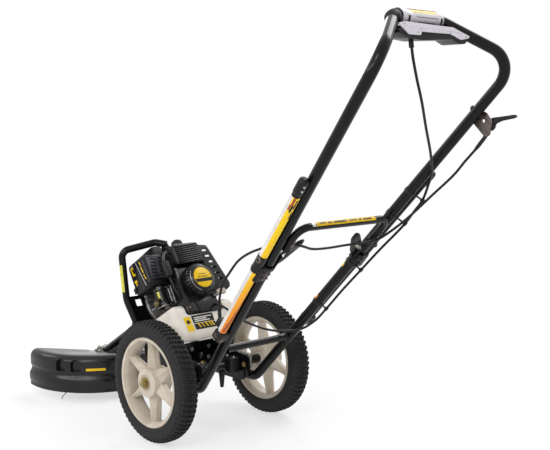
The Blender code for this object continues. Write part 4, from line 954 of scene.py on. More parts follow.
def build_clamp(side, label, along):
    """Sleeve on the strut, band round the leg, the hinge pin through both and the cable guide inside."""
    pivot = leg_point(side, FOLD.z)
    centre = strut_point(side, FOLD.z)
    outer, socket = 0.0121, STRUT_RADIUS + 0.0006
    steps = ((-0.040, -0.0008), (-0.0392, 0), (-0.034, 0), (-0.0335, 0.0008), (-0.030, 0.0008),
             (-0.0295, 0), (0.0055, 0), (0.006, -0.0004), (0.008, -0.0004), (0.0085, 0), (0.0112, 0),
             (0.012, -0.0008))
    sleeve = as_object("hinge_clamp_body_" + label, tube([centre + along * t for t, _ in steps],
                                                         [outer + r for _, r in steps], 36, (0, 1, 0)))
    half = TUBE_RADIUS + 0.0013
    band = in_leg_frame(block((-half, -0.065, -half), (0.0247, -0.0195, half), 0.0055, 4), side, pivot)
    ribs = bmesh.new()
    for up in (-0.057, -0.0435, -0.030):
        join(ribs, in_leg_frame(block((-half - 0.0006, up, -half - 0.0006),
                                      (0.0215, up + 0.003, half + 0.0006), 0.0055, 4), side, pivot))
    fuse(sleeve, band, ribs)
    reach = leg_along(side) * 0.1
    bores = [tube([pivot - reach, pivot + reach], TUBE_RADIUS + GAP, 40, (1, 0, 0)),
             tube([centre - along * 0.09, centre + along * 0.04], socket, 40, (1, 0, 0)),
             rod(0.0190, 0, side * 0.0143, "X", pivot)]
    carve(sleeve, *bores)
    dress(sleeve, "abs", ("hinge_clamp_" + label,))
    spots = [from_leg(side, FOLD.z, 0.006, up, -half - 0.0005) for up in (-0.036, -0.0505)]
    bolt_row("clamp_bolts_" + label, spots, -LEG_FRONT, 0.0042, 0.0035, "steel")
    inner = Vector((pivot.x - side * (TUBE_RADIUS + 0.0085), pivot.y, pivot.z))
    outside = Vector((centre.x - side * outer, pivot.y, pivot.z))
    pin = tube([outside, inner], 0.003, 24, (0, 0, 1))
    join(pin, bolt(inner, (-side, 0, 0), 0.0055, 0.004))
    piece("hinge_pin_" + label, pin, "zinc", smooth=30)
    ring = tube([(centre.x + side * (outer + t), pivot.y, pivot.z) for t in (-0.002, 0.0008, 0.0018)],
                [0.0075, 0.0075, 0.0062], 32, (0, 0, 1), 0.0032)
    piece("hinge_washer_" + label, ring, "steel", smooth=30)
    build_guide(side, label, pivot)


def build_guide(side, label, pivot):
    """Sheet-steel ear on the pin, with a rounded wing that the cables lie on."""
    ear = as_object("cable_guide_" + label,
                    in_leg_frame(block((-0.0205, -0.036, -0.010), (-0.0175, 0.014, 0.010), 0.0012, 2),
                                 side, pivot))
    root = -TUBE_RADIUS - 0.0065
    outline = rounded([(root, -0.036), (root, 0.012), (root - 0.034, 0.050), (root - 0.050, 0.054),
                       (root - 0.052, 0.034), (root - 0.024, -0.012)], 0.006)
    wing = plate(outline, -0.0015, 0.0015, "Z")
    fuse(ear, in_leg_frame(wing, side, pivot))
    slot = sheet([(root - 0.006, -0.012), (root - 0.006, 0.006), (root - 0.024, 0.018),
                  (root - 0.024, 0.010)], 0.004, -0.01, 0.01, "Z")
    eye = tube([pivot - Vector((0.04, 0, 0)), pivot + Vector((0.04, 0, 0))], 0.0033, 24, (0, 0, 1))
    carve(ear, in_leg_frame(slot, side, pivot), eye)
    dress(soften(ear, 0.0006, 2), "coat", ("cable_hook_" + label,))


def build_foot(side, label, along):
    """Moulded foot that joins strut and leg; the left one also carries the stop of the throttle cable."""
    at = leg_point(side, STRUT_BOTTOM)
    foot = as_object("strut_shoe_" + label,
                     in_leg_frame(block((0.004, -0.015, -0.008), (0.040, 0.015, 0.0195), 0.006, 4), side,
                                  at))
    if side < 0:
        stop = in_leg_frame(block((-0.006, -0.010, TUBE_RADIUS + 0.001), (0.012, 0.010, 0.048), 0.002, 2),
                            side, at)
        fuse(foot, stop)
    low = strut_point(side, STRUT_BOTTOM)
    reach = leg_along(side) * 0.05
    bores = [tube([at - reach, at + reach], TUBE_RADIUS + GAP, 40, (1, 0, 0)),
             tube([low - along * GAP, low + along * 0.05], STRUT_RADIUS + 0.0006, 40, (1, 0, 0))]
    carve(foot, *bores)
    dress(foot, "abs", ("strut_foot_" + label,))
    heads = bolt(from_leg(side, STRUT_BOTTOM, 0.029, -0.004, -0.0078), -LEG_FRONT, 0.0045, 0.0035)
    join(heads, bolt(from_leg(side, STRUT_BOTTOM, 0.0395, 0.0, 0.006), (side, 0, 0), 0.0040, 0.003))
    piece("shoe_bolts_" + label, heads, "steel", smooth=30)


SIDE_PLATE_X = leg_point(1, LOWER_RUN_HEIGHT).x - TUBE_RADIUS - GAP - SHEET


def build_side_plates():
    """Side plates beside the lower legs, with their bolts and axle brackets."""
    y, z = HUB["left"].yz
    low = SIDE_PLATE_X
    outline = rounded([(y - 0.030, 0.113), (LOWER_RUN_END, 0.113), (-0.375, 0.150), (-0.352, 0.240),
                       (-0.382, 0.235), (-0.400, 0.180), (-0.500, 0.211), (-0.545, 0.221),
                       (-0.560, 0.192), (y - 0.010, 0.188), (y - 0.055, 0.185), (y - 0.058, 0.135)],
                      0.012)
    for side, label in SIDES:
        ends = sorted((side * low, side * (low + SHEET)))
        side_plate = as_object("side_plate_" + label, plate(outline, *ends))
        holes = [rod(r, -0.2, 0.2, "X", (0, *at), 32)
                 for r, at in ((0.009, (-0.53, 0.137)), (0.007, (-0.445, 0.136)),
                               (0.005, (-0.375, 0.215)), (0.0125, (y, z)))]
        carve(side_plate, *holes)
        dress(soften(side_plate, 0.0008, 2), "coat", ("chassis_plate",))
        spots = [(side * low, *at) for at in ((-0.600, 0.158), (-0.478, 0.134), (-0.425, 0.134))]
        bolt_row("plate_bolts_" + label, spots, (-side, 0, 0), 0.0058, 0.0045, "gold")
        build_axle_bracket(side, label)


def build_cradle():
    """Cross sheet between the side plates, under the tank."""
    reach = SIDE_PLATE_X + 0.0002
    cross = as_object("cradle_cross", block((-reach, -0.474, 0.150), (reach, -0.470, 0.2085), 0.0010, 2))
    holes = [rod(0.008, -0.5, -0.4, "Y", (x, 0, 0.168), 32) for x in (-0.03, 0.03)]
    dress(carve(cross, *holes), "coat")
    spots = [(x, -0.474, up) for x, up in ((-0.058, 0.190), (0.0, 0.190), (0.058, 0.190),
                                           (0.058, 0.160), (-0.058, 0.160))]
    bolt_row("cradle_bolts", spots, (0, -1, 0), 0.0045, 0.0035, "zinc")


def build_axle():
    """The axle and the sleeve round it."""
    y, z = HUB["left"].yz
    end = HUB["right"].x - HUB_HALF_LENGTH - GAP
    sleeve = tube([(x, y, z) for x in (-end, -end + 0.001, end - 0.001, end)],
                  [0.0113, 0.012, 0.012, 0.0113], 36, (0, 0, 1), 0.0073)
    piece("axle_sleeve", sleeve, "coat", ("chassis_plate",))
    reach = HUB["right"].x + HUB_HALF_LENGTH + AXLE_PAST_HUB
    piece("axle_rod", tube([(-reach, y, z), (reach, y, z)], AXLE_RADIUS, 24, (0, 0, 1)), "zinc",
          ("axle",), smooth=30)


def build_mount():
    """The plate that the engine is bolted to."""
    mount = as_object("engine_mount_plate",
                      sheet([(-0.120, -0.100), (0.120, -0.100), (0.120, -0.030), (0.060, 0.0145),
                             (-0.060, 0.0145), (-0.120, -0.030)], 0.010, 0.2003, 0.2053, "Y"))
    holes = [rod(r, 0.15, 0.25, "Y", at, 36)
             for r, at in ((0.021, (0, 0, 0)), (0.012, (0.088, 0, -0.060)), (0.012, (-0.088, 0, -0.060)))]
    carve(mount, *holes)
    mount.data.transform(ENGINE)
    dress(soften(mount, 0.0008, 2), "coat", ("chassis_plate",))
    spots = [(x, 0.2053, up)
             for x, up in ((-0.045, -0.030), (0.045, -0.030), (-0.030, -0.078), (0.030, -0.078))]
    bolt_row("mount_bolts", spots, (0, 1, 0), 0.006, 0.005, "gold", make=engine_piece)


def build_peg():
    """Rubber peg under the axle sleeve."""
    y, z = HUB["left"].yz
    under = z - 0.012 - GAP
    profile = [(0, under - 0.045), (0.0040, under - 0.045), (0.0048, under - 0.044),
               (0.0080, under - 0.012), (0.0085, under - 0.009), (0.0085, under - 0.002), (0.0078, under),
               (0, under)]
    piece("peg", turned(profile, "Z", (0.030, y, 0), 32), "rubber", ("parking_peg",))


def build_axle_bracket(side, label):
    """Blocks that grip the axle sleeve beside the legs: a cast outer half and a moulded inner half."""
    y, z = HUB["left"].yz
    low = SIDE_PLATE_X
    edge = low + SHEET
    spans = (("axle_casting_", edge + 0.0255, edge + 0.038, "cast", 0.003),
             ("axle_saddle_", low - 0.034, low - 0.0003, "abs", 0.004))
    for name, start, stop, coat, bevel in spans:
        ends = sorted((side * start, side * stop))
        body = as_object(name + label, block((ends[0], y - 0.022, z - 0.019),
                                             (ends[1], y + 0.022, z + 0.022), bevel, 3))
        hole = rod(0.0123, -0.2, 0.2, "X", (0, y, z), 36)
        dress(carve(body, hole), coat)
    spots = [(side * x, y + lean, z + 0.0218) for x in (edge + 0.0317, low - 0.017)
             for lean in (-0.0135, 0.0135)]
    bolt_row("bracket_bolts_" + label, spots, (0, 0, 1), 0.0036, 0.0030, "zinc")
    strap = bmesh.new()
    for at in (-0.485, -0.435):
        ring = [Vector((side * (edge + TUBE_RADIUS + GAP + 0.0141 * math.cos(a)), at,
                        LOWER_RUN_HEIGHT + 0.0141 * math.sin(a)))
                for a in (math.radians(80 - 10 * k) for k in range(17))]
        join(strap, tube(ring, 0.0018, 12, (0, 1, 0)))
    piece("leg_straps_" + label, strap, "zinc")


build_tubes()
build_brace()
build_struts()
build_side_plates()
build_cradle()
build_axle()
build_mount()
build_peg()


# Engine


def build_starter():
    """Recoil cover with a ring of vents, and a bright bead on the left part of its edge as a painted
    highlight.
    """
    front = 0.0282
    profile = [(0, -0.0030), (0.0288, -0.0030), (0.0292, -0.0040), (0.0312, -0.0040), (0.0318, -0.0030),
               (0.0335, -0.0012), (0.0365, 0.0006), (0.0405, 0.0026), (0.0430, 0.0052), (0.0450, 0.0088),
               (0.0460, 0.0130), (0.0460, front), (0.0430, front), (0.0415, 0.0120), (0.0300, 0.0030),
               (0, 0.0020)]
    cover = as_object("recoil_cover", turned(profile, "Y", steps=96))
    vent = block((-0.0012, -0.010, 0.0385), (0.0012, 0.0150, 0.0500), 0.0006, 2)
    carve(cover, ring_of("vents", vent, 30))
    engine_dress(cover, "gloss", ("starter_cover",))
    # Bright zinc bead round the left part of the cover's edge: a painted highlight
    edge = [(0.0366 * math.cos(a), 0.0004, 0.0366 * math.sin(a))
            for a in (math.radians(142 + 4 * k) for k in range(27))]
    engine_piece("cover_edge_bead", tube(edge, 0.0007, 10, (0, 1, 0)), "zinc")
    engine_piece("cover_back", turned([(0, 0.006), (0.040, 0.0125), (0.040, 0.0140), (0, 0.0080)], "Y"),
                 "rubber")


def build_badge():
    """Round yellow badge on the recoil cover, with its plain marks."""
    badge = turned([(0, -0.0042), (0.0280, -0.0042), (0.0286, -0.0038), (0.0286, -0.0028), (0, -0.0028)],
                   "Y", steps=64)
    engine_piece("badge", badge, "yellow")
    film = (-0.0045, -0.0040)
    field = [(side * math.sqrt(0.0278 ** 2 - z ** 2), z)
             for side, z in ((-1, -0.0125), (-1, -0.0080), (-1, -0.0030), (1, -0.0030), (1, -0.0080),
                             (1, -0.0125))]
    marks = plate(field, *film, "Y")
    widths = (0.0040, 0.0026, 0.0048, 0.0032, 0.0040)
    bars = [(-0.0140 + i * 0.0062, 0.0036, width, -0.0032, -0.0010) for i, width in enumerate(widths)]
    join(marks, strokes(bars, *film))
    line = [(-0.0135, 0.0105), (0.0125, 0.0105), (0.0115, 0.0090), (-0.0125, 0.0090)]
    join(marks, plate(line, *film, "Y"))
    engine_piece("badge_marks", marks, "ink")


def build_pull_handle():
    """The starter's handle, with three grooves to hold."""
    profile = [(0, 0.0440), (0.0050, 0.0440), (0.0062, 0.0450), (0.0062, 0.0490), (0.0072, 0.0520),
               (0.0085, 0.0550), (0.0085, 0.0575), (0.0079, 0.0582), (0.0079, 0.0592), (0.0085, 0.0600),
               (0.0085, 0.0645), (0.0079, 0.0652), (0.0079, 0.0662), (0.0085, 0.0670), (0.0078, 0.0705),
               (0.0055, 0.0718), (0, 0.0720)]
    engine_piece("pull_grip", turned(profile, "X", (0, 0.018, -0.040), 36), "wheel", ("starter_handle",),
                 "starter_handle")


def build_shroud():
    """Fan housing behind the flywheel, with its raised arms and the cooling fins under the starter."""
    shroud = as_object("fan_housing", block((-0.060, 0.0285, -0.084), (0.044, 0.0695, 0.050), 0.008, 5))
    arm = sheet([(-0.0600, 0.0470), (-0.0510, 0.0470), (-0.0490, -0.0100), (-0.0320, -0.0560),
                 (-0.0240, -0.0810), (-0.0540, -0.0810), (-0.0600, -0.0500)], 0.004, 0.0262, 0.0320, "Y")
    panel = sheet([(-0.0300, -0.0470), (0.0440, -0.0470), (0.0440, -0.0840), (-0.0220, -0.0840)], 0.002,
                  0.0255, 0.0400, "Y")
    arms = [soften(as_object("arm", source), 0.0012, 2, 60) for source in (arm, panel)]
    fuse(shroud, *arms)
    carve(shroud, rod(0.039, 0.0385, 0.080), rod(0.012, 0.0, 0.060))
    engine_dress(shroud, "gloss", ("fan_shroud",))
    fin = block((-0.0012, 0.0245, 0.0), (0.0012, 0.0300, 0.0130), 0.0008, 2)
    fins = repeated("housing_fins", fin, 7, (0.0045, 0, 0), at=(-0.0440, 0, -0.0560), lean=-14)
    engine_dress(fins, "abs")
    spots = [(-0.055, 0.0262, 0.040), (-0.052, 0.0262, -0.068)]
    bolt_row("housing_screws", spots, (0, -1, 0), 0.0026, 0.0018, "steel", make=engine_piece)


def build_cylinder_cover():
    """Ribbed cover over the cylinder, its side panel and the round cap over the spark plug."""
    shell = as_object("top_cover", block((-0.046, 0.0172, 0.0505), (0.0445, 0.150, 0.1135), 0.012, 6))
    inside = block((-0.043, 0.0205, 0.0300), (0.0415, 0.147, 0.1105), 0.008, 3)
    carve(shell, inside)
    engine_dress(shell, "abs", ("cylinder_cover",))
    rows = (("rear", "gloss", 9, (0, 0, 0.0060), (0, 0, 0.0545), -4,
             (-0.0385, 0.0142, 0.0), (0.0370, 0.0220, 0.0033)),
            ("top", "abs", 9, (0, 0.0125, 0), (0, 0.030, 0), 0,
             (-0.0370, 0.0, 0.1090), (0.0355, 0.0036, 0.1157)),
            ("side", "abs", 8, (0, 0.0140, 0), (0, 0.032, 0), 0,
             (0.0405, 0.0, 0.0560), (0.0443, 0.0036, 0.1010)))
    for name, coat, count, step, at, lean, low, high in rows:
        ribs = repeated(f"cover_{name}_ribs", block(low, high, 0.0014, 2), count, step, at=at, lean=lean)
        engine_dress(ribs, coat, ("cylinder_cover",))
    panel = as_object("cover_side_panel", sheet([(0.0240, 0.0560), (0.0680, 0.0560), (0.0670, 0.1060),
                                                 (0.0330, 0.1080)], 0.006, -0.0470, -0.0420))
    engine_dress(soften(panel, 0.0009, 2, 60), "gloss")
    profile = [(0, 0), (0.0152, 0), (0.0160, 0.0008), (0.0160, 0.0060), (0.0150, 0.0068),
               (0.0150, 0.0100), (0.0138, 0.0128), (0.0115, 0.0145), (0.0085, 0.0168), (0, 0.0170)]
    boot = turned(profile, "Z", (-0.004, 0.050, 0.116 + GAP), 48)
    engine_piece("plug_cap", boot, "abs", ("spark_plug_boot",))
    boot = as_object("ignition_boot", block((-0.083, 0.029, 0.026), (-0.060, 0.051, 0.074), 0.0075, 4))
    collar = block((-0.0855, 0.031, 0.0385), (-0.0600, 0.049, 0.0425), 0.0015, 2)
    engine_dress(fuse(boot, collar), "abs")
    hinge = smooth_path([(-0.050, 0.046, 0.100), (-0.062, 0.042, 0.094), (-0.071, 0.040, 0.080),
                         (-0.072, 0.040, 0.066)], 0.004)
    engine_piece("ignition_lead_top", tube(hinge, 0.0048, 20, (0, 1, 0)), "slate")
    wire = smooth_path([(-0.0720, 0.040, 0.030), (-0.0700, 0.037, -0.010), (-0.0640, 0.036, -0.030),
                        (-0.0580, 0.040, -0.042)], 0.004)
    engine_piece("ignition_lead", tube(wire, 0.0034, 16, (0, 1, 0)), "cable")


def build_guard():
    """Guard over the muffler, with six slots down its rear corner and louvres along its side."""
    outline = [(0.0463, 0.108), (0.0754, 0.104), (0.0794, 0.097), (0.112, -0.015), (0.1077, -0.026),
               (0.096, -0.032), (0.0463, -0.035)]
    shell = soften(as_object("heat_guard", sheet(outline, 0.006, 0.030, 0.120, "Y")), 0.0035, 3, 50)
    middle = Vector((0.070, 0.036))
    inner = [Vector(p) + (middle - Vector(p)).normalized() * 0.0038 for p in outline]
    for i in (0, -1):
        inner[i].x -= 0.03
    tools = [sheet(inner, 0.006, 0.033, 0.117, "Y")]
    for i in range(6):
        x, z = 0.0629 + 0.00422 * i, 0.0884 - 0.01744 * i
        slot = block((x - 0.0080, 0.020, z - 0.0030), (x + 0.0080, 0.040, z + 0.0030), 0.0022, 3)
        tools.append(slot)
        rise = (0.0018, 0.0128) if i < 3 else (0.0105, 0.0185)
        louvre = block((x + 0.0040, 0.038, z + rise[0]), (x + 0.040, 0.108, z + rise[1]), 0.0022, 2)
        tools.append(louvre)
    carve(shell, *tools)
    engine_dress(shell, "abs", ("muffler_guard",))

    can = as_object("silencer", block((0.0463, 0.042, -0.022), (0.080, 0.108, 0.072), 0.008, 4))
    seam = block((0.0463, 0.0740, -0.0225), (0.0806, 0.0760, 0.0725), 0.0005, 1)
    fuse(can, seam)
    carve(can, rod(0.006, 0.09, 0.13, "Y", (0.0632, 0, 0)))
    engine_dress(can, "heat", ("muffler",))


def build_core():
    """Crankcase with its joint bolts, and the finned cylinder under the cover."""
    profile = [(0.0065, 0.080), (0.034, 0.080), (0.039, 0.0815), (0.044, 0.086), (0.046, 0.091),
               (0.046, 0.1145), (0.0472, 0.1150), (0.0472, 0.1180), (0.046, 0.1185), (0.046, 0.150),
               (0.0065, 0.150)]
    engine_piece("crankcase_halves", turned(profile, "Y", steps=72), "cast", ("crankcase",))
    lug = rod(0.0048, 0.098, 0.134, "Y", (0, 0, 0.0455), 16)
    bmesh.ops.rotate(lug, verts=lug.verts, matrix=Matrix.Rotation(math.radians(36), 3, "Y"))
    engine_dress(ring_of("crankcase_lugs", lug, 5), "cast", smooth=30)
    profile = [(0, 0.0463)]
    for i in range(9):
        base = 0.0475 + i * 0.0064
        profile += [(0.0225, base), (0.0225, base + 0.0040), (0.0298, base + 0.0043),
                    (0.0298, base + 0.0060)]
    profile += [(0.0225, 0.1052), (0, 0.1052)]
    engine_piece("finned_barrel", turned(profile, "Z", (0, 0.115, 0), 48), "cast", ("cylinder",))


def build_filter():
    """Air filter cover: rounded box with a gloss band, printed marks and a slotted grey grille behind."""
    shell = as_object("filter_cover", block((-0.116, 0.070, 0.019), (-0.0465, 0.150, 0.111), 0.012, 6))
    carve(shell, block((-0.113, 0.073, 0.022), (-0.030, 0.147, 0.108), 0.008, 3))
    engine_dress(shell, "abs", ("air_filter_cover",))
    grille = as_object("filter_grille", sheet([(-0.1050, 0.0400), (-0.0520, 0.0400), (-0.0520, 0.1020),
                                               (-0.1050, 0.1020)], 0.006, 0.0682, 0.0720, "Y"))
    slots = []
    for x in (-0.0920, -0.0655):
        slot = block((-0.0100, 0.060, 0.0), (0.0100, 0.0712, 0.0048), 0.0018, 2)
        slots.append(repeated("slots", slot, 6, (0, 0, 0.0098), at=(x, 0, 0.0440), lean=10))
    engine_dress(carve(grille, *slots), "slate")
    band = as_object("filter_band", sheet([(0.0900, 0.0250), (0.1060, 0.0250), (0.1230, 0.1060),
                                           (0.1070, 0.1060)], 0.003, -0.1172, -0.1140))
    engine_dress(soften(band, 0.0007, 2, 60), "gloss")
    lip = as_object("filter_lip", block((-0.1165, 0.0695, 0.0300), (-0.0465, 0.1505, 0.0345), 0.0012, 2))
    cut = block((-0.1145, 0.0715, 0.0), (0.0, 0.1485, 0.100))
    engine_dress(carve(lip, cut), "abs")
    duct = sheet([(-0.1000, 0.1080), (-0.0900, 0.1190), (-0.0570, 0.1390), (-0.0300, 0.1410),
                  (-0.0120, 0.1120), (-0.0460, 0.1000)], 0.004, 0.0930, 0.1280, "Y")
    engine_dress(soften(as_object("filter_duct", duct), 0.0030, 3, 50), "abs")
    trim = plate([(0.0868, 0.0300), (0.0882, 0.0300), (0.1042, 0.1020), (0.1028, 0.1020)], -0.1172, -0.1160)
    engine_piece("filter_trim", trim, "pale")
    marks = ((0.1160, 0.0925, 0.0180, 0.0060), (0.1250, 0.0740, 0.0055, 0.0180),
             (0.1195, 0.0740, 0.0050, 0.0045), (0.1210, 0.0540, 0.0120, 0.0070),
             (0.1245, 0.0455, 0.0050, 0.0080), (0.0830, 0.0860, 0.0034, 0.0120),
             (0.0812, 0.0640, 0.0032, 0.0200), (0.0785, 0.0450, 0.0032, 0.0160))
    bars = [(*mark, mark[3] * 0.2) for mark in marks]
    engine_piece("filter_marks", strokes(bars, -0.1164, -0.1155, "X"), "yellow")
    knob = turned([(0, -0.1200), (0.0052, -0.1200), (0.0062, -0.1190), (0.0062, -0.1155), (0, -0.1155)],
                  "X", (0, 0.1400, 0.0380), 12)
    engine_piece("filter_knob", knob, "abs", smooth=20)


def build_carburettor():
    """Round carburettor body with its flange, label and screws, and a bright zinc ring round the bottom rim
    as a painted highlight.
    """
    centre = (-0.0785, 0.0912, 0)
    profile = [(0, -0.0380), (0.0196, -0.0380), (0.0205, -0.0372), (0.0205, -0.0335), (0.0190, -0.0330),
               (0.0190, -0.0312), (0.0205, -0.0306), (0.0205, -0.0262), (0.0192, -0.0250),
               (0.0172, -0.0240), (0.0172, 0.0060), (0.0184, 0.0075), (0.0196, 0.0085), (0.0196, 0.0185),
               (0, 0.0185)]
    drum = as_object("carburettor_drum", turned(profile, "Z", centre, 64))
    boss = rod(0.0125, -0.0998, -0.0800, "X", (0, 0.091, -0.024))
    fuse(drum, boss)
    carve(drum, rod(0.0096, -0.12, -0.0955, "X", (0, 0.091, -0.024)))
    engine_dress(drum, "gloss", ("carburettor",))
    label = [(centre[0], centre[1], z) for z in (-0.0125, -0.007, -0.001, 0.0052)]
    engine_piece("carburettor_label", wrap(label, 0.0172, -22, 0, (-0.75, -0.66, 0)), "lime", smooth=60)
    # Zinc ring round the bottom rim: the rim's shape, with its brightness a painted highlight
    rim = [(0.0198, -0.0378), (0.0212, -0.0374), (0.0212, -0.0368), (0.0198, -0.0366)]
    engine_piece("carburettor_ring", turned(rim, "Z", centre, 64), "zinc")
    flange = block((-0.0640, 0.0740, -0.0300), (-0.0465, 0.1085, 0.0120), 0.003, 3)
    join(flange, block((-0.0560, 0.0700, -0.0360), (-0.0500, 0.1120, 0.0170), 0.0025, 3))
    engine_piece("intake_flange", flange, "cast")
    spots = [(x, 0.0735, z)
             for x, z in ((-0.0870, -0.0340), (-0.0700, -0.0340), (-0.0880, 0.0130), (-0.0690, 0.0130))]
    bolt_row("carburettor_screws", spots, (0, -1, 0), 0.0023, 0.0018, "zinc", make=engine_piece, flats=16,
             washer=False)


def build_controls():
    """Primer dome, choke lever and throttle cam on the carburettor."""
    r = 0.009
    bulb = (-0.1003, 0.091, -0.024)
    dome = [(0, -r)] + [(r * math.sin(a), -r * math.cos(a))
                        for a in (math.radians(12 * k) for k in range(1, 7))]
    dome += [(r, -0.0022), (r, 0), (0, 0)]
    engine_piece("primer_dome", turned(dome, "X", bulb, 36), "amber", ("primer_bulb",), "primer_bulb")
    pivot = Vector((-0.088, 0.0697, 0.004))
    lever = as_object("choke_handle",
                      sheet([(pivot.x - 0.005, pivot.z + 0.005), (pivot.x + 0.005, pivot.z + 0.005),
                             (pivot.x + 0.003, pivot.z - 0.026), (pivot.x - 0.003, pivot.z - 0.026)],
                            0.003, pivot.y - 0.003, pivot.y, "Y", steps=5))
    engine_dress(soften(lever, 0.0006, 2), "abs", ("choke_lever",), "choke_lever")
    cam = turned([(0, -0.004), (0.0092, -0.004), (0.010, -0.0034), (0.010, -0.0028), (0.0088, -0.0023),
                  (0.0088, -0.0017), (0.010, -0.0012), (0.010, 0), (0, 0)], "Z", (-0.070, 0.091, -0.0383),
                 36)
    engine_piece("cable_cam", cam, "zinc", ("throttle_cam",), "throttle_cam")


def build_tank():
    """Blow-moulded tank with its parting line, sloped underside and ribbed cap."""
    body = as_object("tank_shell", block((-0.104, 0.034, -0.151), (0.104, 0.200, -0.0525), 0.020, 8))
    carve(body, block((-0.0635, 0.0, -0.0865), (0.0635, 0.25, 0.05), 0.010, 4))
    slope = plate([(0.050, -0.160), (0.050, -0.151), (0.202, -0.115), (0.260, -0.115), (0.260, -0.160)],
                  -0.2, 0.2)
    soften(carve(body, slope), 0.006, 3, 20)
    seam = sheet([(-0.1045, 0.0335), (0.1045, 0.0335), (0.1045, 0.2001), (-0.1045, 0.2001)], 0.020,
                 -0.1126, -0.1112, "Z", steps=8)
    fuse(body, seam)
    engine_dress(body, "milky", ("fuel_tank",), smooth=32)
    centre = (0.084, 0.160, -0.0525 + GAP)
    profile = [(0, 0.0001), (0.0148, 0.0001), (0.0152, 0.0008), (0.0152, 0.0100), (0.0142, 0.0118),
               (0.0120, 0.0129), (0.0095, 0.0129), (0.0090, 0.0120), (0, 0.0120)]
    cap = as_object("cap_body", turned(profile, "Z", centre, 48))
    grip = block((-0.0011, 0.0146, 0.0010), (0.0011, 0.0160, 0.0102), 0.0005, 1)
    fuse(cap, block((0.0735, 0.1575, centre[2] + 0.0110), (0.0945, 0.1625, centre[2] + 0.0130), 0.001, 2))
    engine_dress(cap, "abs", ("fuel_cap",), "fuel_cap")
    engine_dress(ring_of("cap_grips", grip, 22, centre, (0, 0, 1)), "abs", ("fuel_cap",), "fuel_cap",
                 smooth=30)


def build_patches():
    """Printed patches on the rear of the tank."""
    face = (0.0336, 0.0346)
    engine_piece("tank_yellow_patch", sheet([(-0.0790, -0.0905), (-0.0570, -0.0905), (-0.0545, -0.1310),
                                             (-0.0765, -0.1310)], 0.002, *face, "Y"), "yellow")
    engine_piece("tank_black_patch", sheet([(-0.0530, -0.0895), (0.0180, -0.0895), (0.0180, -0.1290),
                                            (-0.0500, -0.1290)], 0.002, *face, "Y"), "ink")
    above = (0.0333, 0.0340)
    lines = [(-0.046, z, length, -0.0022, 0)
             for z, length in ((-0.095, 0.058), (-0.100, 0.040), (-0.105, 0.050))]
    engine_piece("tank_patch_lines", strokes(lines, *above), "white")
    slashes = [(x, -0.1110, width, -0.0130, 0.007)
               for x, width in ((-0.041, 0.004), (-0.029, 0.0035), (-0.017, 0.0045), (-0.005, 0.0035),
                                (0.003, 0.004))]
    engine_piece("tank_patch_blocks", strokes(slashes, *above), "yellow")
    engine_piece("tank_patch_spot", rod(0.0055, 0.0333, 0.0340, "Y", (-0.0670, 0, -0.1050), 24), "ink")


def build_drive():
    """Clutch housing with ribs and bolts, and the drive tube."""
    bell = [(0.033, 0.1505), (0.0425, 0.1505), (0.044, 0.1520), (0.044, 0.1620), (0.0455, 0.1645),
            (0.0690, 0.1705), (0.0725, 0.1715), (0.0740, 0.1735), (0.0740, 0.1950), (0.0725, 0.1970),
            (0.0200, 0.1970), (0.0200, 0.1910), (0.0700, 0.1910), (0.0700, 0.1765), (0.0330, 0.1685)]
    engine_piece("clutch_bell", turned(bell, "Y", steps=96), "cast", ("clutch_housing",))
    rib = sheet([(0.1530, 0.0430), (0.1680, 0.0660), (0.1735, 0.0700), (0.1735, 0.0430)], 0.001, -0.0015,
                0.0015, steps=2)
    engine_dress(ring_of("bell_ribs", rib, 14), "cast")
    lug = rod(0.0062, 0.1725, 0.1970, "Y", (0, 0, 0.0715), 24)
    join(lug, bolt((0, 0.1725, 0.0715), (0, -1, 0), 0.0040, 0.0035))
    bmesh.ops.rotate(lug, verts=lug.verts, matrix=Matrix.Rotation(math.radians(45), 3, "Y"))
    engine_dress(ring_of("bell_bolts", lug, 4), "zinc", smooth=30)
    profile = [(0.010, 0.194), (0.0195, 0.194), (0.0195, 0.2093), (0.0180, 0.2115), (0.0145, 0.2150),
               (0.0130, 0.2165), (0.0130, 0.575), (0.010, 0.575)]
    engine_piece("shaft_tube", turned(profile, "Y", steps=40), "coat", ("drive_tube",))


def build_gearbox():
    """Angle gearbox over the hood, with the clamp on the drive tube."""
    profile = [(0, 0.0500), (0.0262, 0.0500), (0.0280, 0.0512), (0.0280, 0.0560)]
    for i in range(4):
        base = 0.0600 + i * 0.0068
        profile += [(0.0262, base - 0.0020), (0.0262, base), (0.0280, base + 0.0012),
                    (0.0280, base + 0.0030)]
    profile += [(0.0262, 0.0870), (0.0275, 0.0885), (0.0270, 0.0930), (0.0235, 0.0965), (0.0180, 0.0980),
                (0, 0.0980)]
    box = as_object("gearbox_casting", turned(profile, "Z", steps=72))
    back = 0.557
    socket = turned([(0.0133, back), (0.0148, back), (0.0160, back + 0.0012), (0.0160, 0.605), (0, 0.605),
                     (0, 0.5753), (0.0133, 0.5753)], "Y", steps=48)
    socket.transform(ENGINE)
    fuse(box, socket)
    dress(box, "cast", ("gearbox",))
    bolt_row("gearbox_plugs", [(0, 0.012, 0.0978), (0, -0.012, 0.0978)], (0, 0, 1), 0.0042, 0.0035, "gold")
    clamp = block((-0.0190, 0.560, 0.0120), (0.0190, 0.574, 0.0200), 0.002, 3)
    join(clamp, bolt((-0.0110, 0.567, 0.0198), (0, 0, 1), 0.0032, 0.0032))
    join(clamp, bolt((0.0110, 0.567, 0.0198), (0, 0, 1), 0.0032, 0.0032))
    engine_piece("gearbox_clamp", clamp, "cast")


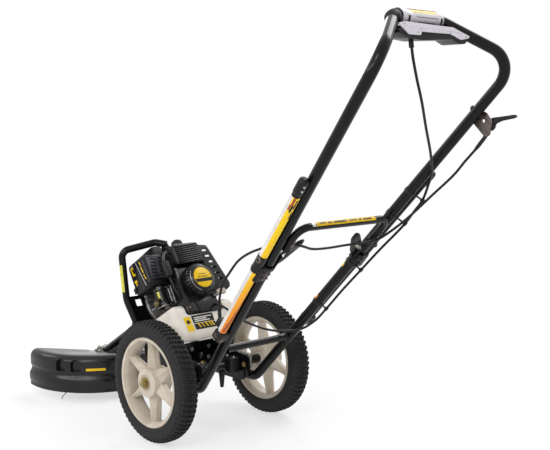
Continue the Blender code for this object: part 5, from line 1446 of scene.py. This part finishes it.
def build_bar():
    """Tubular guard in front of and over the engine, with its yellow label."""
    radius = 0.0096
    path = fillet([(-0.110, 0.1918, -0.060), (-0.124, 0.185, 0.030), (-0.139, 0.114, 0.145),
                   (-0.050, 0.076, 0.145), (-0.034, 0.056, 0.128)], [0.05, 0.022, 0.016], 12)
    engine_piece("guard_bar", tube(path, radius, 32, (0, 1, 0)), "coat", ("engine_guard",))
    tab = sheet([(0.040, 0.112), (0.076, 0.112), (0.070, 0.137), (0.048, 0.134)], 0.005, -0.0400, -0.0365)
    engine_piece("guard_tab", tab, "coat")
    bolt_row("guard_tab_bolt", [(-0.0360, 0.0580, 0.1245)], (1, 0, 0), 0.0050, 0.0040, "steel",
             make=engine_piece)
    gusset = as_object("guard_gusset",
                       sheet([(-0.1200, 0.0360), (-0.0690, 0.0360), (-0.0725, 0.0180), (-0.0745, 0.0000),
                              (-0.0730, -0.0180), (-0.0640, -0.0430), (-0.0600, -0.0600),
                              (-0.1080, -0.0600)], 0.003, 0.1780, 0.1820, "Y"))
    window = block((-0.1025, 0.16, 0.0060), (-0.0825, 0.20, 0.0260), 0.0015, 2)
    engine_dress(carve(gusset, window), "coat")
    low, high = Vector((-0.124, 0.185, 0.030)), Vector((-0.139, 0.114, 0.145))
    row = [low + (high - low) * t / 10 for t in (1.8, 3, 4, 5, 6, 7.3)]
    engine_piece("guard_bar_label", wrap(row, radius, -50, 70, (-1, 0.55, 0)), "lime", smooth=60)


build_starter()
build_badge()
build_pull_handle()
build_shroud()
build_cylinder_cover()
build_guard()
build_core()
build_filter()
build_carburettor()
build_controls()
build_tank()
build_patches()
build_drive()
build_gearbox()
build_bar()


# Hood and trimmer head


def pocket_depth(angle, height):
    """How deep the arched pockets in the hood's back wall sink, in metres."""
    if not 0.088 < height < 0.134:
        return 0.0
    nearest = min(abs(angle - centre) for centre in POCKETS)
    fall = 1 - math.sqrt(max(0.0, 1 - min(1, nearest / POCKET_HALF_WIDTH) ** 2))
    from_side = (POCKET_HALF_WIDTH - nearest) / math.radians(1.2)
    from_top = (POCKET_TOP - POCKET_ARCH * fall - height) / 0.003
    inside = min(max(from_side, 0), 1) * min(max(from_top, 0), 1)
    return POCKET_DEPTH * inside ** 2 * (3 - 2 * inside)


def hood_section():
    """The hood's (radius, height) section: its outer line and, one wall within, its inner line."""
    outer = [(0.030, 0.1060), (0.060, 0.1110), (0.090, 0.1162), (0.120, 0.1215), (0.150, 0.1266),
             (0.173, 0.1305), (0.184, 0.1322), (0.1915, 0.1327)]
    turns = [math.radians(5 * k) for k in range(1, 18)]
    outer += [(0.1915 + 0.021 * math.sin(t), 0.1125 + 0.0202 * math.cos(t)) for t in turns]
    outer += [(0.2125, 0.1125 - 0.0012 * k) for k in range(20)]
    outer += [(0.2119, 0.0880), (0.2105, 0.0855), (0.2096, 0.0830), (0.2094, 0.0800), (0.2100, 0.0765),
              (0.2125, 0.0715), (0.2152, 0.0670), (0.2166, 0.0620), (0.2170, 0.0570), (0.2168, 0.0500),
              (0.2160, 0.0450), (0.2146, 0.0405), (0.2138, 0.0370), (0.2142, 0.0335), (0.2150, 0.0310),
              (0.2148, 0.0285), (0.2135, 0.0266), (0.2110, 0.0260)]
    inner = []
    for i, (r, z) in enumerate(outer):
        before, after = outer[max(0, i - 1)], outer[min(len(outer) - 1, i + 1)]
        way = Vector((after[0] - before[0], after[1] - before[1])).normalized()
        inner.append((r - abs(way.y) * HOOD_WALL, z - abs(way.x) * HOOD_WALL * (1 if z > 0.04 else -0.3)))
    return outer, inner


def build_hood():
    """Half-round hood with a hat wall, rolled waist and lip, and arched pockets round its back."""
    outer, inner = hood_section()
    start, sweep, steps = math.radians(170), math.radians(200), 420
    bm = bmesh.new()
    rings = []
    for i in range(steps + 1):
        angle = start + sweep * i / steps
        ring = []
        for layer in (outer, inner[::-1]):
            for r, z in layer:
                r -= pocket_depth(angle, z) if r > 0.2 else 0
                ring.append(bm.verts.new((r * math.cos(angle), r * math.sin(angle), z)))
        rings.append(ring)
    skin(bm, rings)
    for ring in (rings[0], rings[-1]):
        close_film(bm, ring)
    hood = as_object("hood_moulding", bm)
    slot = block((-0.0163, -0.110, 0.07), (0.0163, 0.01, 0.15), 0.004, 2)
    carve(hood, slot)
    dress(hood, "gloss", ("deck",), smooth=40)


def build_hood_fittings():
    """Neck between hood and drive tube, the strip round the hood's back, and the bolted bracket."""
    neck = sheet([(-0.078, 0.108), (-0.196, 0.1375), (-0.204, 0.1800), (-0.078, 0.1100)], 0.006, -0.019,
                 0.019)
    hollow = rod(0.0134, 0.30, 0.60, steps=40)
    hollow.transform(ENGINE)
    neck = carve(as_object("hood_neck", neck), hollow)
    dress(soften(neck, 0.0015, 2), "abs")
    arc = []
    for layer_radius in (0.21245, 0.2129):
        arc.append([(layer_radius * math.cos(a), layer_radius * math.sin(a))
                    for a in (math.radians(228.5 + 15 * k / 16) for k in range(17))])
    strip = plate(arc[0] + arc[1][::-1], 0.0915, 0.0985, "Z")
    piece("hood_strip", strip, "yellow")
    bracket = block((-0.030, -0.062, 0.1010), (0.030, -0.030, 0.1120), 0.003, 3)
    gap = block((-0.0163, -0.2, 0.0), (0.0163, 0.2, 0.2))
    dress(carve(as_object("hood_bracket", bracket), gap), "abs")
    spots = [(x, -0.046, 0.1118) for x in (-0.0235, 0.0235)]
    bolt_row("hood_bolts", spots, (0, 0, 1), 0.0040, 0.0034, "zinc")


def build_head():
    """Line head with its glide cup, grips and eyelets, and the line through it."""
    low, high, r = 0.008, 0.040, 0.052
    profile = [(0, 0.0006), (0.024, 0.0006), (0.026, 0), (0.030, 0), (0.0325, 0.0014), (0.034, 0.0045),
               (0.0325, 0.0070), (0.0300, low), (r - 0.005, low), (r - 0.0012, low + 0.0022),
               (r, low + 0.006), (r, 0.0195), (r - 0.0015, 0.0200), (r - 0.0015, 0.0210), (r, 0.0215),
               (r, high - 0.009), (r - 0.002, high - 0.0045), (r - 0.006, high - 0.001),
               (r - 0.011, high), (0.0145, high), (0.012, high + 0.004), (0.006, high + 0.006),
               (0.006, 0.0600), (0, 0.0600)]
    piece("line_head", turned(profile, "Z", steps=84), "abs", ("trimmer_head",), "trimmer_head")
    grip = block((-0.0016, r - 0.0022, low + 0.004), (0.0016, r - 0.0002, high - 0.008), 0.0007, 1)
    dress(ring_of("head_grips", grip, 24, axis=(0, 0, 1)), "abs", ("trimmer_head",), "trimmer_head",
          smooth=30)
    way = Vector((math.cos(LINE_ANGLE), math.sin(LINE_ANGLE), 0))
    lift = Vector((0, 0, LINE_HEIGHT))
    eyes = bmesh.new()
    for side in (-1, 1):
        path = [lift + way * side * t for t in (r - 0.003, r - 0.001, r + 0.0012)]
        join(eyes, tube(path, [0.0048, 0.0048, 0.0036], 24, (0, 0, 1), 0.0018))
    piece("line_eyelets", eyes, "zinc", body="trimmer_head", smooth=30)
    half = [way * out + lift - Vector((0, 0, sag))
            for out, sag in ((0.047, 0), (0.06, 0), (0.12, 0.001), (0.17, 0.006), (0.199, 0.014),
                             (0.205, 0.021))]
    other = [Vector((-p.x, -p.y, p.z)) for p in half]
    piece("cutting_line", tube(smooth_path(other[::-1] + half, 0.006), 0.00122, 10), "line",
          ("trimmer_line",), "trimmer_head")


build_hood()
build_hood_fittings()
build_head()


# Console, throttle and cables


def sector(profile, start, stop, y, z, steps=40):
    """Turn a closed (radius, x) outline part of the way round the handle's top bar."""
    bm = bmesh.new()
    rings = []
    for i in range(steps + 1):
        angle = start + (stop - start) * i / steps
        rings.append([bm.verts.new((x, y + r * math.cos(angle), z + r * math.sin(angle)))
                      for r, x in profile])
    skin(bm, rings)
    bm.faces.new(rings[0])
    bm.faces.new(rings[-1])
    return bm


def build_grip():
    """Squeeze grip round the middle of the handle, with its slanted label window and two finger slots."""
    y, z = HANDLE_TOP.yz
    low, high = -0.065, 0.0705
    inner, outer = TUBE_RADIUS + 0.0012, 0.018
    half = math.radians(55)
    start, stop = math.radians(-90) + half, math.radians(270) - half
    profile = [(inner, low), (outer - 0.0014, low), (outer - 0.0004, low + 0.0005), (outer, low + 0.0016),
               (outer, 0.0580), (outer - 0.0006, 0.0630), (outer - 0.0020, high - 0.0022),
               (outer - 0.0034, high - 0.0004), (outer - 0.0040, high), (inner, high)]
    shell = as_object("grip_shell", sector(profile, start, stop, y, z, 72))
    tools = []
    for x in (-0.0445, 0.0585):
        slot = sheet([(x - 0.0042, z - 0.0125), (x + 0.0042, z - 0.0125), (x + 0.0042, z + 0.0030),
                      (x - 0.0042, z + 0.0030)], 0.0042, y - 0.030, y - 0.005, "Y", steps=5)
        tools.append(slot)
    window = sheet([(-0.0433, z + 0.0172), (-0.0235, z), (0.0500, z), (0.0520, z + 0.0172)], 0.0012,
                   y - 0.030, y - 0.002, "Y", steps=2)
    tools.append(window)
    carve(shell, *tools)
    dress(soften(shell, 0.0004, 2, 50), "silver", ("presence_grip",), "presence_grip", smooth=30)
    build_grip_lining(y, z)
    ring = [(0.0138, low - 0.0002), (0.0177, low - 0.0002), (0.0179, low + 0.0010),
            (0.0179, low + 0.0040), (0.0175, low + 0.0045), (0.0138, low + 0.0045)]
    piece("grip_end_ring", sector(ring, start, stop, y, z), "abs", body="presence_grip")
    teeth = block((-0.0012, y - 0.0172, z - 0.0128), (0.0012, y - 0.0120, z - 0.0088), 0.0005, 1)
    dress(repeated("grip_teeth", teeth, 14, (0.0040, 0, 0), at=(-0.0150, 0, 0)), "abs",
          body="presence_grip")
    bend = [point for point in handle_path() if -0.112 < point.x < -0.0670]
    bend = smooth_path([Vector((-0.0668, y, z)), *bend], 0.003)
    sizes = [0.0168 if 1 < i < len(bend) - 2 else 0.0158 for i in range(len(bend))]
    piece("handle_sleeve", tube(bend, sizes, 40, (0, 0, 1), TUBE_RADIUS + 0.0001), "rubber", body="handle")


def build_grip_lining(y, z):
    """What shows in the grip's slots and window: a dark liner, the window's bed and two labels."""
    for name, coat, span, first, last in (("grip_liner", "ink", (-0.062, 0.066), 176, 222),
                                          ("grip_window_bed", "silver", (-0.0385, 0.053), 92, 175)):
        back = [(0.0138, span[0]), (0.0168, span[0]), (0.0168, span[1]), (0.0138, span[1])]
        piece(name, sector(back, math.radians(first), math.radians(last), y, z), coat, body="presence_grip")
    for name, coat, span, first, last in (("grip_label_top", "yellow", (-0.0330, 0.0470), 104, 145),
                                          ("grip_label_low", "white", (-0.0215, 0.0470), 146, 172)):
        band = [(0.0165, span[0]), (0.0172, span[0]), (0.0172, span[1]), (0.0165, span[1])]
        piece(name, sector(band, math.radians(first), math.radians(last), y, z), coat,
              body="presence_grip", smooth=60)


def build_console():
    """Black switch housing under the bar, with the faceted grey cover plate on its rear."""
    y, z = HANDLE_TOP.yz
    top, back = z - 0.0215, y - 0.0445
    outline = rounded([(-0.072, top + 0.0035), (0.060, top), (0.085, top - 0.003), (0.105, top - 0.0125),
                       (0.112, top - 0.019), (0.105, top - 0.027), (0.086, top - 0.0285),
                       (0.063, top - 0.020), (-0.038, top - 0.0265), (-0.081, top - 0.0235),
                       (-0.107, top - 0.014), (-0.103, top - 0.009)], 0.005)
    housing = soften(as_object("switch_housing", plate(outline, back, y + 0.004, "Y")), 0.0022, 3, 50)
    saddle = block((-0.020, y - 0.004, top - 0.004), (0.020, y + 0.003, z - TUBE_RADIUS - GAP), 0.001, 2)
    fuse(housing, saddle)
    dress(housing, "abs", ("console_body",), "handle")
    face = back - GAP
    outline = rounded([(-0.112, z - 0.018), (-0.095, z - 0.0145), (0.056, z - 0.0175), (0.106, z - 0.031),
                       (0.112, z - 0.032), (0.110, z - 0.037), (0.085, z - 0.041), (0.0505, z - 0.031),
                       (-0.0446, z - 0.0315), (-0.0463, z - 0.0385), (-0.081, z - 0.0385),
                       (-0.108, z - 0.022)], 0.0025)
    cover = as_object("switch_cover", plate(outline, face - 0.0040, face, "Y"))
    seams = [block((x - 0.0003, face - 0.006, z - 0.05), (x + 0.0003, face - 0.0032, z))
             for x in (0.0548, -0.0455)]
    dress(soften(carve(cover, *seams), 0.0009, 2, 40), "silver", ("console_plate",), "handle")
    ridge = plate([(-0.092, z - 0.0160), (0.055, z - 0.0190), (0.098, z - 0.0310), (0.052, z - 0.0250),
                   (-0.090, z - 0.0235)], face - 0.0052, face - 0.0038, "Y")
    ridge_obj = soften(as_object("switch_cover_ridge", ridge), 0.0010, 2, 60)
    dress(ridge_obj, "silver", body="handle")
    spots = [(x, face - 0.0040, z - drop)
             for x, drop in ((-0.0560, 0.0335), (0.1010, 0.0345), (0.0480, 0.0278), (-0.0980, 0.0188))]
    bolt_row("switch_screws", spots, (0, -1, 0), 0.0021, 0.0012, "zinc", "handle", flats=16, washer=False)
    gland = tube(smooth_path([(-0.0478, y - 0.0235, z - 0.0440), (-0.0470, y - 0.0240, z - 0.0530),
                              (-0.0462, y - 0.0245, z - 0.0620)], 0.003), 0.0052, 24)
    piece("cable_gland", gland, "rubber", body="handle")


def build_throttle():
    """Steel bracket on the right leg, with the bent lever, its pivot bolt and the nut of the clamp."""
    at = leg_point(1, LEVER_HEIGHT)
    face = leg_point(1, LEVER_HEIGHT + 0.021).x + TUBE_RADIUS + GAP
    outline = rounded([(at.y - 0.017, at.z + 0.021), (at.y + 0.004, at.z - 0.003),
                       (at.y - 0.030, at.z - 0.036), (at.y - 0.044, at.z - 0.033),
                       (at.y - 0.048, at.z - 0.012), (at.y - 0.050, at.z - 0.001),
                       (at.y - 0.033, at.z + 0.019)], 0.005)
    bracket = as_object("lever_bracket", plate(outline, face, face + 0.002))
    hole = rod(0.0034, 0.0, 1.0, "X", (0, at.y - 0.027, at.z - 0.0005), 24)
    dress(soften(carve(bracket, hole), 0.0005, 2), "steel", ("throttle_bracket",), "handle")
    clamp = bolt((face + 0.002, at.y - 0.009, at.z + 0.006), (1, 0, 0), 0.0040, 0.0030)
    nut = leg_point(1, LEVER_HEIGHT + 0.019) + LEG_FRONT * (TUBE_RADIUS - 0.0002)
    join(clamp, bolt(nut, LEG_FRONT, 0.0050, 0.0042))
    piece("bracket_bolts", clamp, "steel", body="handle", smooth=30)

    pivot = Vector((face + 0.002 + GAP, at.y - 0.036, at.z - 0.010))
    lever = as_object("lever_hub", turned([(0, 0), (0.0102, 0), (0.0112, 0.0009), (0.0112, 0.0050),
                                           (0.0102, 0.0058), (0, 0.0058)], "X", pivot, 48))
    shape = [(-0.004, -0.0120), (-0.002, 0.010), (-0.010, 0.0165), (-0.034, 0.0190), (-0.066, 0.0232),
             (-0.0721, 0.0222), (-0.0736, 0.0185), (-0.067, 0.0150), (-0.036, 0.0095), (-0.0205, 0.0030),
             (-0.0180, -0.0065), (-0.0120, -0.0125)]
    arm = sheet([(pivot.y + y, pivot.z + z) for y, z in shape], 0.0035, pivot.x + 0.0008, pivot.x + 0.0052)
    fuse(lever, soften(as_object("arm", arm), 0.0011, 2, 60))
    dress(lever, "abs", ("throttle_lever",), "throttle_lever")
    piece("lever_bolt", bolt(pivot + Vector((0.0058, 0, 0)), (1, 0, 0), 0.0042, 0.0028), "steel",
          body="throttle_lever", smooth=30)


def from_leg_line(points):
    """Points of a cable, each given as x, its distance ahead of the legs' plane, and z."""
    return [Vector((x, LEG_FOOT_Y - LEG_LEAN * z + ahead, z)) for x, ahead, z in points]


def build_cables():
    """Both control cables, routed across the fold between handle and chassis, and what holds them."""
    presence = [Vector(p) + Vector((0, *HANDLE_TOP.yz))
                for p in ((-0.047, -0.024, -0.0485), (-0.044, -0.026, -0.078), (-0.026, -0.022, -0.120),
                          (0.012, -0.006, -0.169))]
    presence += from_leg_line([(0.060, -0.0011, 0.798), (0.118, -0.0208, 0.739), (0.163, -0.0292, 0.694),
                               (0.190, -0.0279, 0.659), (0.196, -0.0377, 0.625), (0.194, -0.0394, 0.598),
                               (0.190, -0.0425, 0.567), (0.183, -0.0407, 0.536), (0.173, -0.0384, 0.501),
                               (0.160, -0.0366, 0.446), (0.149, -0.0335, 0.389), (0.139, -0.0342, 0.338),
                               (0.126, -0.0349, 0.303), (0.102, -0.0210, 0.279)])
    presence += [ENGINE @ Vector(p) for p in ((0.070, -0.1031, -0.2032), (0.040, -0.0481, -0.1491),
                                              (0.030, -0.0062, -0.0925), (0.030, 0.0268, -0.0697))]
    throttle = from_leg_line([(0.224, -0.0565, 0.7815), (0.2235, -0.0595, 0.769), (0.221, -0.0594, 0.744),
                              (0.216, -0.0592, 0.718), (0.211, -0.0602, 0.686), (0.196, -0.0545, 0.640),
                              (0.174, -0.0483, 0.581), (0.150, -0.0393, 0.541), (0.128, -0.0368, 0.529),
                              (0.104, -0.0251, 0.523), (0.060, -0.0148, 0.521), (0, -0.0126, 0.519),
                              (-0.050, -0.0130, 0.522), (-0.088, -0.0113, 0.5325),
                              (-0.112, 0.0012, 0.537), (-0.126, 0.0296, 0.534), (-0.129, 0.0605, 0.526),
                              (-0.130, 0.0968, 0.508), (-0.125, 0.1227, 0.484), (-0.120, 0.1318, 0.451),
                              (-0.118, 0.1320, 0.417), (-0.118, 0.1098, 0.378), (-0.119, 0.0892, 0.355),
                              (-0.120, 0.0676, 0.3348)])
    for name, route in (("presence_cable", presence), ("throttle_cable", throttle)):
        bend_with_fold(as_object(name + "_sleeve",
                                 tube(smooth_path(route, 0.006), CABLE_RADIUS, 16, (1, 0, 0))), name)
    steps = ((0.0, 0.0040), (0.04, 0.0046), (0.30, 0.0046), (0.34, 0.0040), (0.38, 0.0046), (0.8, 0.0044),
             (0.95, 0.0036), (1.0, 0.0032))
    for name, points, body in (("throttle_ferrule", throttle[-3:], "chassis"),
                               ("lever_boot", throttle[2::-1], "handle")):
        path = [curve_point(points, share) for share, _ in steps]
        piece(name, tube(path, [radius for _, radius in steps], 24, (1, 0, 0)), "rubber", body=body)
    for height, body in ((0.625, "handle"), (0.567, "handle"), (0.446, "chassis"), (0.338, "chassis")):
        build_clip(height, presence, body)


def curve_point(points, share):
    """A point on the bend through three points, from the last one back."""
    first, middle, last = points
    return last * (1 - share) ** 2 + middle * 2 * share * (1 - share) + first * share ** 2


def build_clip(height, route, body):
    """A band round the right leg with a strap to the eye that holds the cable there."""
    cable = min(route, key=lambda point: abs(point.z - height))
    along = leg_along(1)
    leg = leg_point(1, height)
    leg += along * (cable - leg).dot(along)
    away = (cable - leg).normalized()
    band = tube([leg + along * t for t in (-0.005, -0.0045, 0.0045, 0.005)],
                [0.0130, 0.0138, 0.0138, 0.0130], 32, (1, 0, 0), TUBE_RADIUS + 0.0001)
    strap = tube([leg + away * (TUBE_RADIUS + 0.0005), cable - away * (CABLE_RADIUS + 0.0005)], 0.0022,
                 12, along)
    eye = tube([cable + along * t for t in (-0.004, 0.004)], 0.0046, 20, (1, 0, 0), CABLE_RADIUS + 0.0001)
    piece(f"cable_clip_{round(height * 1000)}", join(band, strap, eye), "abs", body=body)


def bend_with_fold(obj, node_name):
    """Dress a cable that runs across the handle's fold: its finish, smooth shading and baked place, with
    its node hidden.
    """
    obj.data.materials.append(FINISH["cable"])
    obj.data.shade_smooth()
    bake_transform(obj)
    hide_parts(node_name)


build_grip()
build_console()
build_throttle()
build_cables()


# What stays as the frame made it: inner pieces that hardly show


def dress_inner():
    """Give the nodes that stay visible their finishes."""
    for name, coat in (("flywheel", "cast"), ("crankshaft", "zinc"), ("clutch_drum", "zinc"),
                       ("drive_shaft", "zinc"), ("starter_rope", "cable")):
        node_object = next(obj for obj in bpy.data.objects if obj.type == "MESH" and obj.name == name)
        node_object.data.materials.clear()
        node_object.data.materials.append(FINISH[coat])


dress_inner()


# Camera, light and floor


def rays_seen(tree, *kinds):
    """A socket that is 1 for the rays of any of the kinds."""
    rays = node(tree, "ShaderNodeLightPath")
    seen = rays.outputs[kinds[0]]
    for kind in kinds[1:]:
        either = node(tree, "ShaderNodeMath", {0: seen, 1: rays.outputs[kind]}, operation="MAXIMUM")
        seen = either.outputs[0]
    return seen


def build_floor():
    """White floor that keeps the shadow near the mower and glows white further out."""
    bm = bmesh.new()
    bmesh.ops.create_grid(bm, x_segments=1, y_segments=1, size=30)
    floor = as_object("floor", bm)
    mat = finish("studio_floor", "ffffff", 0.9)
    tree = mat.node_tree
    seen = rays_seen(tree, "Is Camera Ray", "Is Glossy Ray")
    place = node(tree, "ShaderNodeTexCoord")
    away = node(tree, "ShaderNodeVectorMath", {0: place.outputs["Object"], 1: (0.1, -0.5, 0)},
                operation="DISTANCE")
    level = node(tree, "ShaderNodeMapRange", {"Value": away.outputs["Value"], "From Min": 0.45,
                                              "From Max": 1.9, "To Min": 0.6, "To Max": 1.0},
                 interpolation_type="SMOOTHSTEP")
    share = node(tree, "ShaderNodeMath", {0: seen, 1: level.outputs["Result"]}, operation="MULTIPLY")
    glow = node(tree, "ShaderNodeEmission", {"Color": (1, 1, 1, 1), "Strength": 1.0})
    mix = node(tree, "ShaderNodeMixShader",
               {0: share.outputs[0], 1: tree.nodes["Principled BSDF"].outputs[0], 2: glow.outputs[0]})
    tree.links.new(mix.outputs[0], tree.nodes["Material Output"].inputs["Surface"])
    floor.data.materials.append(mat)


def build_surroundings():
    """White surroundings that give less light than they show."""
    world = bpy.data.worlds.new("studio")
    bpy.context.scene.world = world
    world.use_nodes = True
    tree = world.node_tree
    seen = rays_seen(tree, "Is Camera Ray", "Is Glossy Ray", "Is Transmission Ray")
    level = node(tree, "ShaderNodeMapRange", {"Value": seen, "To Min": 0.55, "To Max": 1.0})
    tree.nodes["Background"].inputs["Color"].default_value = (1, 1, 1, 1)
    tree.links.new(level.outputs["Result"], tree.nodes["Background"].inputs["Strength"])


def build_lamps():
    """Soft lamps that all face the mower: where each stands, its width and height, and its watts."""
    lamps = (((-2.6, -2.2, 2.8), (1.1, 1.1), 28), ((2.1, -0.95, 2.9), (1.6, 1.6), 36),
             ((2.4, 2.0, 2.3), (1.6, 1.6), 30), ((-1.6, 2.2, 2.6), (1.2, 1.2), 18),
             ((-2.8, -0.9, 1.65), (3.0, 0.4), 28))
    for number, (at, size, power) in enumerate(lamps):
        light = bpy.data.lights.new(f"softbox_{number}", "AREA")
        light.shape = "RECTANGLE"
        light.size, light.size_y = size
        light.energy = power
        lamp = bpy.data.objects.new(f"softbox_{number}", light)
        lamp.location = at
        aim = Vector((0, -0.6, 0.4)) - Vector(at)
        lamp.rotation_euler = aim.to_track_quat("-Z", "Y").to_euler()
        bpy.context.scene.collection.objects.link(lamp)


def build_camera():
    """The camera that was fitted to the photograph."""
    way = Vector((math.sin(CAMERA_YAW) * math.cos(CAMERA_DOWN),
                  math.cos(CAMERA_YAW) * math.cos(CAMERA_DOWN), -math.sin(CAMERA_DOWN)))
    right = Vector((math.cos(CAMERA_YAW), -math.sin(CAMERA_YAW), 0))
    turn = Matrix((right, right.cross(way), -way)).transposed().to_4x4()
    lens = bpy.data.cameras.new("camera")
    lens.sensor_width = 36
    lens.lens = lens.sensor_width / 2 / math.tan(VIEW_WIDTH / 2)
    camera = bpy.data.objects.new("camera", lens)
    camera.matrix_world = Matrix.Translation(CAMERA_AT) @ turn
    bpy.context.scene.collection.objects.link(camera)
    bpy.context.scene.camera = camera


build_floor()
build_surroundings()
build_lamps()
build_camera()
bpy.context.scene.view_settings.view_transform = "Standard"
